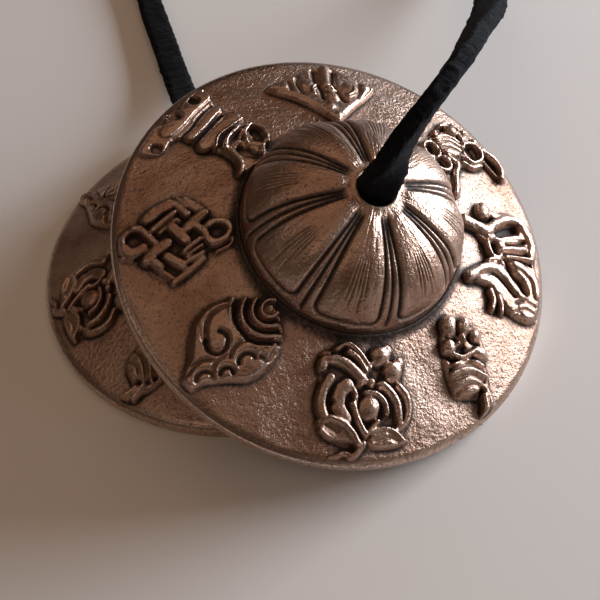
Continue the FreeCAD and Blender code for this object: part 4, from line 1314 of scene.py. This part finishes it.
class Knot:
    """One end of the lace: the standing part and its tail, and two turns round it."""

    top = 16.9
    turns = 1.9
    rise = 3.3
    radius = 3.65
    squeezed = 4.0  # width of the lace in the turns
    rock = 0.16
    drop = 4.2
    tail = 6.4
    tail_lean = 40.0
    rows = 26

    def __init__(self, name: str, body: str, place: Place, width_turn: float) -> None:
        """Set up one knot.

        Args:
            name: First word of its pieces' names.
            body: The body it rides on.
            place: The cymbal's place.
            width_turn: Compass of the lace's width in the cymbal's frame.
        """
        self.name = name
        self.body = body
        self.place = place
        self.width_turn = math.radians(width_turn)
        self.sizes = LaceSizes()

    def strand(self) -> Skin:
        """Follow the standing part down the axis and the tail out to one side.

        Returns:
            The strand's surface.
        """
        s = self.sizes
        bottom = self.top - self.drop
        straight = np.linspace(s.joint_z, bottom + 1.0, self.rows)
        lean = np.radians(self.tail_lean) * ease(0.0, 1.0, np.linspace(0.0, 1.0, self.rows))
        step = self.tail / (self.rows - 1.0)
        away = np.concatenate([[0.0], np.cumsum(np.sin(lean[1:]) * step)])
        down = np.concatenate([[0.0], np.cumsum(np.cos(lean[1:]) * step)])
        side = self.width_turn + math.pi / 2
        reach = np.concatenate([np.zeros(self.rows - 1), away])
        level = np.concatenate([straight[:-1], bottom + 1.0 - down])
        line = np.stack([reach * math.cos(side), reach * math.sin(side), level], 1)
        wide = np.tile([math.cos(self.width_turn), math.sin(self.width_turn), 0.0], (len(line), 1))
        skin = band(line, wide, np.full(len(line), s.width - 0.1), np.full(len(line), s.thickness), 41)
        return Skin(self.place.put(skin.points), skin.faces, skin.values)

    def wraps(self) -> Skin:
        """Follow two turns of the lace round the standing part, their ends drawn in under it.

        Returns:
            The turns' surface.
        """
        s = self.sizes
        share = np.linspace(0.0, 1.0, 240)
        angle = self.width_turn + 2.0 * math.pi * self.turns * share
        ends = ease(0.0, 0.12, share) * (1 - ease(0.9, 1.0, share))
        radius = self.radius - 1.9 * (1 - ends)
        level = self.top - 2.1 - self.rise * share + 0.35 * np.sin(angle)
        line = np.stack([radius * np.cos(angle), radius * np.sin(angle), level], 1)
        outward = np.stack([np.cos(angle), np.sin(angle), 0 * angle], 1)
        wide = np.tile([0.0, 0.0, 1.0], (len(line), 1))
        wide = wide + self.rock * outward * np.sin(angle * 1.5)[:, None]
        skin = band(line, wide, np.full(len(line), self.squeezed), np.full(len(line), s.thickness), 43)
        return Skin(self.place.put(skin.points), skin.faces, skin.values)

    def build(self, suede: bpy.types.Material) -> list[bpy.types.Object]:
        """Build and dress both pieces.

        Args:
            suede: The leather's finish.

        Returns:
            The pieces.
        """
        made = [self.strand().piece(f"{self.name}_strand", suede),
                self.wraps().piece(f"{self.name}_turns", suede)]
        for piece in made:
            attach(piece, self.body)
            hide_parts(self.name)
        return made


# --- Finishes -------------------------------------------------------------------------


class Shader:
    """A node tree being filled: short ways to add a node and join sockets."""

    def __init__(self, tree: bpy.types.NodeTree) -> None:
        """Start with a tree.

        Args:
            tree: The material's or group's node tree.
        """
        self.tree = tree

    def node(self, kind: str, **settings: object) -> bpy.types.Node:
        """Add a node and set its properties.

        Args:
            kind: Blender's name for the node.
            **settings: Properties to set.

        Returns:
            The node.
        """
        made = self.tree.nodes.new(kind)
        for key, value in settings.items():
            setattr(made, key, value)
        return made

    def join(self, source: bpy.types.NodeSocket, target: bpy.types.NodeSocket) -> None:
        """Link one socket to another."""
        self.tree.links.new(source, target)

    def maths(self, operation: str, *values: object, clamp: bool = False) -> bpy.types.NodeSocket:
        """Add a Math node on numbers or sockets.

        Args:
            operation: The operation.
            *values: Numbers, or sockets to link.
            clamp: Whether to keep the result from 0 to 1.

        Returns:
            The result's socket.
        """
        made = self.node("ShaderNodeMath", operation=operation, use_clamp=clamp)
        for slot, value in zip(made.inputs, values):
            self.feed(slot, value)
        return made.outputs[0]

    def mix(self, factor: object, first: object, second: object) -> bpy.types.NodeSocket:
        """Add a colour mix.

        Args:
            factor: Share of the second, a number or a socket.
            first: Colour or socket.
            second: Colour or socket.

        Returns:
            The result's socket.
        """
        made = self.node("ShaderNodeMix", data_type="RGBA")
        for slot, value in zip((made.inputs[0], made.inputs[6], made.inputs[7]), (factor, first, second)):
            self.feed(slot, value)
        return made.outputs[2]

    def feed(self, slot: bpy.types.NodeSocket, value: object) -> None:
        """Link a socket, or set a number or colour, on an input."""
        if isinstance(value, bpy.types.NodeSocket):
            self.join(value, slot)
        elif isinstance(value, tuple):
            slot.default_value = (*value, 1.0)[:4]
        else:
            slot.default_value = value

    def remap(self, value: bpy.types.NodeSocket, low: float, high: float, to_low: float = 0.0,
              to_high: float = 1.0) -> bpy.types.NodeSocket:
        """Map a range of values to another, clamped.

        Args:
            value: The socket to read.
            low: Start of its range.
            high: End of its range.
            to_low: Start of the new range.
            to_high: End of the new range.

        Returns:
            The result's socket.
        """
        made = self.node("ShaderNodeMapRange")
        for slot, number in zip(made.inputs, (value, low, high, to_low, to_high)):
            self.feed(slot, number)
        return made.outputs[0]

    def noise(self, place: bpy.types.NodeSocket, size: object, detail: float, rough: float = 0.55,
              warp: float = 0.0) -> bpy.types.NodeSocket:
        """Add a noise texture and return its value.

        Args:
            place: The coordinates' socket.
            size: Scale, in lumps per metre.
            detail: Octaves.
            rough: How strong the finer octaves are.
            warp: Distortion.

        Returns:
            The value's socket.
        """
        made = self.node("ShaderNodeTexNoise")
        settings = {"Vector": place, "Scale": size, "Detail": detail, "Roughness": rough, "Distortion": warp}
        for key, value in settings.items():
            self.feed(made.inputs[key], value)
        return made.outputs["Fac"]

    def cells(self, place: bpy.types.NodeSocket, size: object) -> bpy.types.NodeSocket:
        """Add a Voronoi texture and return the distance to its nearest point."""
        made = self.node("ShaderNodeTexVoronoi", feature="F1")
        self.feed(made.inputs["Vector"], place)
        self.feed(made.inputs["Scale"], size)
        return made.outputs["Distance"]


def new_group(name: str, inputs: tuple[tuple[str, str, object], ...], outputs: tuple[tuple[str, str], ...]
              ) -> tuple[Shader, bpy.types.Node, bpy.types.Node]:
    """Start a node group with named sockets.

    Args:
        name: The group's name.
        inputs: Name, socket kind and default of each input.
        outputs: Name and socket kind of each output.

    Returns:
        The shader helper on the group, its input node and its output node.
    """
    tree = bpy.data.node_groups.new(name, "ShaderNodeTree")
    for label, kind, default in inputs:
        made = tree.interface.new_socket(label, in_out="INPUT", socket_type=kind)
        if default is not None:
            made.default_value = default
    for label, kind in outputs:
        tree.interface.new_socket(label, in_out="OUTPUT", socket_type=kind)
    shader = Shader(tree)
    return shader, shader.node("NodeGroupInput"), shader.node("NodeGroupOutput")


def cast_skin_group() -> bpy.types.NodeTree:
    """Sand-cast skin: grains, shallow pits and soft lumps as one height, and slow blotches of colour."""
    shader, given, result = new_group(
        "cast_skin",
        (("Place", "NodeSocketVector", None), ("Cast", "NodeSocketFloat", 1.0)),
        (("Height", "NodeSocketFloat"), ("Blotch", "NodeSocketFloat"), ("Grain", "NodeSocketFloat")),
    )
    place = given.outputs["Place"]
    grain = shader.noise(place, 4200.0, 3.0, 0.6)
    sand = shader.noise(place, 1900.0, 2.0, 0.55, 0.2)
    lumps = shader.noise(place, 520.0, 3.0, 0.5)
    pits = shader.remap(shader.cells(place, 700.0), 0.0, 0.26, -1.0, 0.0)
    where = shader.remap(shader.noise(place, 260.0, 2.0), 0.56, 0.66)
    pits = shader.maths("MULTIPLY", pits, where)
    height = shader.maths("MULTIPLY_ADD", sand, 1.4, shader.maths("MULTIPLY", grain, 0.8))
    height = shader.maths("MULTIPLY_ADD", lumps, 0.8, height)
    height = shader.maths("MULTIPLY_ADD", pits, 1.1, height)
    height = shader.maths("MULTIPLY", height, given.outputs["Cast"])
    shader.join(height, result.inputs["Height"])
    shader.join(shader.noise(place, 95.0, 5.0, 0.6, 0.4), result.inputs["Blotch"])
    speckle = shader.maths("MULTIPLY_ADD", sand, 0.6, shader.maths("MULTIPLY", grain, 0.4))
    shader.join(speckle, result.inputs["Grain"])
    return shader.tree


def patina_group() -> bpy.types.NodeTree:
    """Antiqued metal: black in the hollows, as dark patina and painted shade, brown on the flats, rubbed
    bright on the crests.
    """
    shader, given, result = new_group(
        "rubbed_patina",
        (("Hollow", "NodeSocketFloat", 0.0), ("Crest", "NodeSocketFloat", 0.0),
         ("Blotch", "NodeSocketFloat", 0.5), ("Grain", "NodeSocketFloat", 0.5),
         *((label, "NodeSocketColor", None) for label in ("Metal", "Brown", "Black", "Rubbed"))),
        (("Colour", "NodeSocketColor"), ("Roughness", "NodeSocketFloat"), ("Metallic", "NodeSocketFloat")),
    )
    blotch, grain = given.outputs["Blotch"], given.outputs["Grain"]
    brown = shader.remap(shader.maths("MULTIPLY_ADD", grain, 0.5, blotch), 0.55, 0.95)
    colour = shader.mix(brown, given.outputs["Metal"], given.outputs["Brown"])
    worn = shader.remap(grain, 0.4, 0.62, 0.05, 0.7)
    rub = shader.maths("MULTIPLY", given.outputs["Crest"], worn, clamp=True)
    colour = shader.mix(rub, colour, given.outputs["Rubbed"])
    # The hollows' black is dark patina and painted shade; dark pits of the grain add to it.
    uneven = shader.maths("MULTIPLY_ADD", shader.maths("SUBTRACT", grain, 0.5), 0.9, given.outputs["Hollow"])
    dark = shader.remap(uneven, 0.12, 0.72)
    specks = shader.remap(grain, 0.44, 0.34, 0.0, 0.7)
    dark = shader.maths("MAXIMUM", dark, specks, clamp=True)
    colour = shader.mix(shader.maths("MULTIPLY", dark, 0.94), colour, given.outputs["Black"])
    rough = shader.maths("MULTIPLY_ADD", blotch, 0.16, 0.22)
    rough = shader.maths("MULTIPLY_ADD", dark, 0.38, rough)
    rough = shader.maths("MULTIPLY_ADD", rub, -0.08, rough, clamp=True)
    shader.join(colour, result.inputs["Colour"])
    shader.join(rough, result.inputs["Roughness"])
    bare = shader.maths("SUBTRACT", 1.0, shader.maths("MULTIPLY", dark, 0.75))
    shader.join(bare, result.inputs["Metallic"])
    return shader.tree


@dataclass(frozen=True)
class BellMetal:
    """Antiqued bell metal, reddish brown, as cast on top and rubbed bright where hands touch it."""

    metal: Colour = (0.56, 0.395, 0.31)
    brown: Colour = (0.30, 0.165, 0.11)
    # Black of the hollows: dark patina together with painted shade.
    black: Colour = (0.009, 0.006, 0.005)
    rubbed: Colour = (0.68, 0.54, 0.46)
    bump: float = 0.00016

    def make(self) -> bpy.types.Material:
        """Build the material.

        Returns:
            The material.
        """
        material = bpy.data.materials.new("bell_metal")
        material.use_nodes = True
        shader = Shader(material.node_tree)
        principled = material.node_tree.nodes["Principled BSDF"]
        place = shader.node("ShaderNodeTexCoord").outputs["Object"]
        read = {key: shader.node("ShaderNodeAttribute", attribute_name=key).outputs["Fac"]
                for key in ("hollow", "crest", "cast")}
        skin = shader.node("ShaderNodeGroup", node_tree=cast_skin_group())
        shader.join(place, skin.inputs["Place"])
        shader.join(read["cast"], skin.inputs["Cast"])
        patina = shader.node("ShaderNodeGroup", node_tree=patina_group())
        for key, value in (("Hollow", read["hollow"]), ("Crest", read["crest"]),
                           ("Blotch", skin.outputs["Blotch"]), ("Grain", skin.outputs["Grain"]),
                           ("Metal", self.metal), ("Brown", self.brown),
                           ("Black", self.black), ("Rubbed", self.rubbed)):
            shader.feed(patina.inputs[key], value)
        shader.join(patina.outputs["Colour"], principled.inputs["Base Color"])
        shader.join(patina.outputs["Roughness"], principled.inputs["Roughness"])
        shader.join(patina.outputs["Metallic"], principled.inputs["Metallic"])
        bump = shader.node("ShaderNodeBump")
        bump.inputs["Strength"].default_value = 0.85
        bump.inputs["Distance"].default_value = self.bump
        shader.join(skin.outputs["Height"], bump.inputs["Height"])
        shader.join(bump.outputs["Normal"], principled.inputs["Normal"])
        return material


@dataclass(frozen=True)
class Suede:
    """Black suede lace: matt, napped, with pale flecks, and its side faces painted a lighter grey as a
    highlight.
    """

    black: Colour = (0.003, 0.003, 0.004)
    grey: Colour = (0.026, 0.027, 0.032)
    bump: float = 0.00030

    def make(self) -> bpy.types.Material:
        """Build the material.

        Returns:
            The material.
        """
        material = bpy.data.materials.new("suede")
        material.use_nodes = True
        shader = Shader(material.node_tree)
        principled = material.node_tree.nodes["Principled BSDF"]
        place = shader.node("ShaderNodeTexCoord").outputs["Object"]
        edge = shader.node("ShaderNodeAttribute", attribute_name="edge").outputs["Fac"]
        nap = shader.noise(place, 2200.0, 5.0, 0.7, 0.5)
        brushed = shader.noise(place, 380.0, 3.0, 0.6, 0.8)
        flecks = shader.remap(shader.noise(place, 1500.0, 3.0, 0.7), 0.58, 0.70)
        pale = shader.maths("MULTIPLY_ADD", flecks, 0.8, shader.remap(brushed, 0.5, 0.8, 0.0, 0.3))
        # The lighter grey along the side faces is a painted highlight.
        pale = shader.maths("MULTIPLY_ADD", edge, 0.12, pale, clamp=True)
        shader.join(shader.mix(pale, self.black, self.grey), principled.inputs["Base Color"])
        shader.join(shader.remap(nap, 0.3, 0.7, 0.82, 1.0), principled.inputs["Roughness"])
        principled.inputs["Specular IOR Level"].default_value = 0.10
        principled.inputs["Sheen Weight"].default_value = 0.03
        principled.inputs["Sheen Roughness"].default_value = 0.45
        height = shader.maths("MULTIPLY_ADD", nap, 1.0, shader.maths("MULTIPLY", brushed, 0.8))
        bump = shader.node("ShaderNodeBump")
        bump.inputs["Strength"].default_value = 1.0
        bump.inputs["Distance"].default_value = self.bump
        shader.join(height, bump.inputs["Height"])
        shader.join(bump.outputs["Normal"], principled.inputs["Normal"])
        return material


# --- Studio ---------------------------------------------------------------------------


@dataclass(frozen=True)
class Softbox:
    """An oblong area light that looks at the pair, placed by its compass and its rise over the floor."""

    name: str
    compass: float
    rise: float
    away: float
    size: tuple[float, float]
    glow: float
    colour: Colour = (1.0, 1.0, 1.0)

    def hang(self) -> None:
        """Add the light, turned to the pair's middle; its power is its glow over its whole face."""
        light = bpy.data.lights.new(self.name, "AREA")
        light.shape = "RECTANGLE"
        light.size, light.size_y = self.size
        light.energy = self.glow * math.pi * self.size[0] * self.size[1]
        light.color = self.colour
        holder = bpy.data.objects.new(self.name, light)
        compass, rise = math.radians(self.compass), math.radians(self.rise)
        level = math.cos(rise)
        back = np.array([math.cos(compass) * level, math.sin(compass) * level, math.sin(rise)])
        right = unit(np.cross((0.0, 0.0, 1.0), back))
        turn = np.stack([right, np.cross(back, right), back], 1)
        holder.matrix_world = Matrix.Translation((back * self.away).tolist()) @ Matrix(turn.tolist()).to_4x4()
        bpy.context.scene.collection.objects.link(holder)


@dataclass(frozen=True)
class Viewpoint:
    """The camera: its place and what it looks at, in millimetres, its roll and its lens."""

    at: tuple[float, float, float] = (1.47, -110.82, 138.964)
    look_at: tuple[float, float, float] = (1.47, -3.42, 0.0)
    roll: float = -8.8898
    lens: float = 66.779
    sensor: float = 36.0

    def place(self) -> None:
        """Add the camera and make it the scene's: rightward and upward directions turned by the roll."""
        ahead = unit(np.array(self.look_at) - np.array(self.at))
        level = unit(np.cross(ahead, (0.0, 0.0, 1.0)))
        above = np.cross(level, ahead)
        roll = math.radians(self.roll)
        right = math.cos(roll) * level + math.sin(roll) * above
        up = -math.sin(roll) * level + math.cos(roll) * above
        data = bpy.data.cameras.new("viewpoint")
        data.sensor_width = self.sensor
        data.lens = self.lens
        data.clip_start = 0.005
        data.clip_end = 20.0
        camera = bpy.data.objects.new("viewpoint", data)
        turn = np.stack([right, up, -ahead], 1)
        camera.matrix_world = Matrix.Translation(np.array(self.at) * MM) @ Matrix(turn.tolist()).to_4x4()
        bpy.context.scene.collection.objects.link(camera)
        bpy.context.scene.camera = camera


class Studio:
    """A plain pale floor, soft light and the camera."""

    reach = 3.0
    floor_colour: Colour = (0.92, 0.88, 0.84)
    sky: Colour = (1.0, 0.66, 0.46)
    sky_strength = 0.055
    lights = (
        Softbox("key", 14.0, 13.0, 0.60, (0.44, 0.27), 18.0, (0.82, 0.90, 1.0)),
        Softbox("side", 52.0, 8.0, 0.60, (0.24, 0.16), 1.4, (0.82, 0.90, 1.0)),
        Softbox("front", -36.0, 26.0, 0.60, (0.16, 0.20), 1.2, (0.88, 0.94, 1.0)),
        Softbox("top", 82.0, 66.0, 0.80, (0.70, 0.56), 0.50, (1.0, 0.66, 0.45)),
        Softbox("fill", -84.0, 62.0, 0.80, (0.70, 0.50), 0.36, (1.0, 0.64, 0.42)),
        Softbox("left", -152.0, 52.0, 0.80, (0.60, 0.50), 0.35, (1.0, 0.84, 0.70)),
    )

    def floor(self) -> bpy.types.Object:
        """Lay the floor at the height of the cymbals' rims."""
        r = self.reach
        mesh = bpy.data.meshes.new("floor")
        mesh.from_pydata([(-r, -r, 0), (r, -r, 0), (r, r, 0), (-r, r, 0)], [], [(0, 1, 2, 3)])
        material = bpy.data.materials.new("floor")
        material.use_nodes = True
        shader = Shader(material.node_tree)
        principled = material.node_tree.nodes["Principled BSDF"]
        place = shader.node("ShaderNodeTexCoord").outputs["Object"]
        shade = tuple(0.96 * c for c in self.floor_colour)
        colour = shader.mix(shader.noise(place, 8.0, 3.0), self.floor_colour, shade)
        shader.join(colour, principled.inputs["Base Color"])
        principled.inputs["Roughness"].default_value = 0.85
        mesh.materials.append(material)
        floor = bpy.data.objects.new("floor", mesh)
        bpy.context.scene.collection.objects.link(floor)
        return floor

    def build(self) -> None:
        """Set up floor, sky, lights, camera and how light becomes colour."""
        self.floor()
        world = bpy.data.worlds.new("studio")
        world.use_nodes = True
        background = world.node_tree.nodes["Background"]
        background.inputs["Color"].default_value = (*self.sky, 1.0)
        background.inputs["Strength"].default_value = self.sky_strength
        scene = bpy.context.scene
        scene.world = world
        for light in self.lights:
            light.hang()
        Viewpoint().place()
        scene.view_settings.view_transform = "Standard"


class Lie(Enum):
    """How each cymbal lies: flat on the ground, or leaning on the other."""

    FLAT = Place((-6.22, 5.56, 0.0), 0.0, 0.0, 0.0)
    LEANING = Place((7.28, -6.24, 13.0513), 24.07, -40.21, -2.55)


REAR_TURN = -78.0


def main() -> None:
    """Build the pair in order and report each piece."""
    logging.basicConfig(level=logging.INFO, format="%(message)s")
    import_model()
    Studio().build()
    suede = Suede().make()
    metal = BellMetal().make()
    flat, lean = Lie.FLAT.value, Lie.LEANING.value
    lace = Lace(lean)
    lace.build(suede)
    Knot("rear_knot", "rear_knot", flat, lace.sizes.flat_exit + 90.0).build(suede)
    Knot("front_knot", "front_knot", lean, lace.sizes.lean_width).build(suede)
    relief = ReliefMap(CastingSizes().rim_radius)
    turned_flat = Place(flat.at, flat.tilt, flat.compass, REAR_TURN)
    Cymbal("rear", "rear_cymbal", "rear_cymbal", turned_flat, 100).build(relief, metal)
    Cymbal("front", "front_cymbal", "front_cymbal", lean, 200).build(relief, metal)


if __name__ == "__main__":
    main()
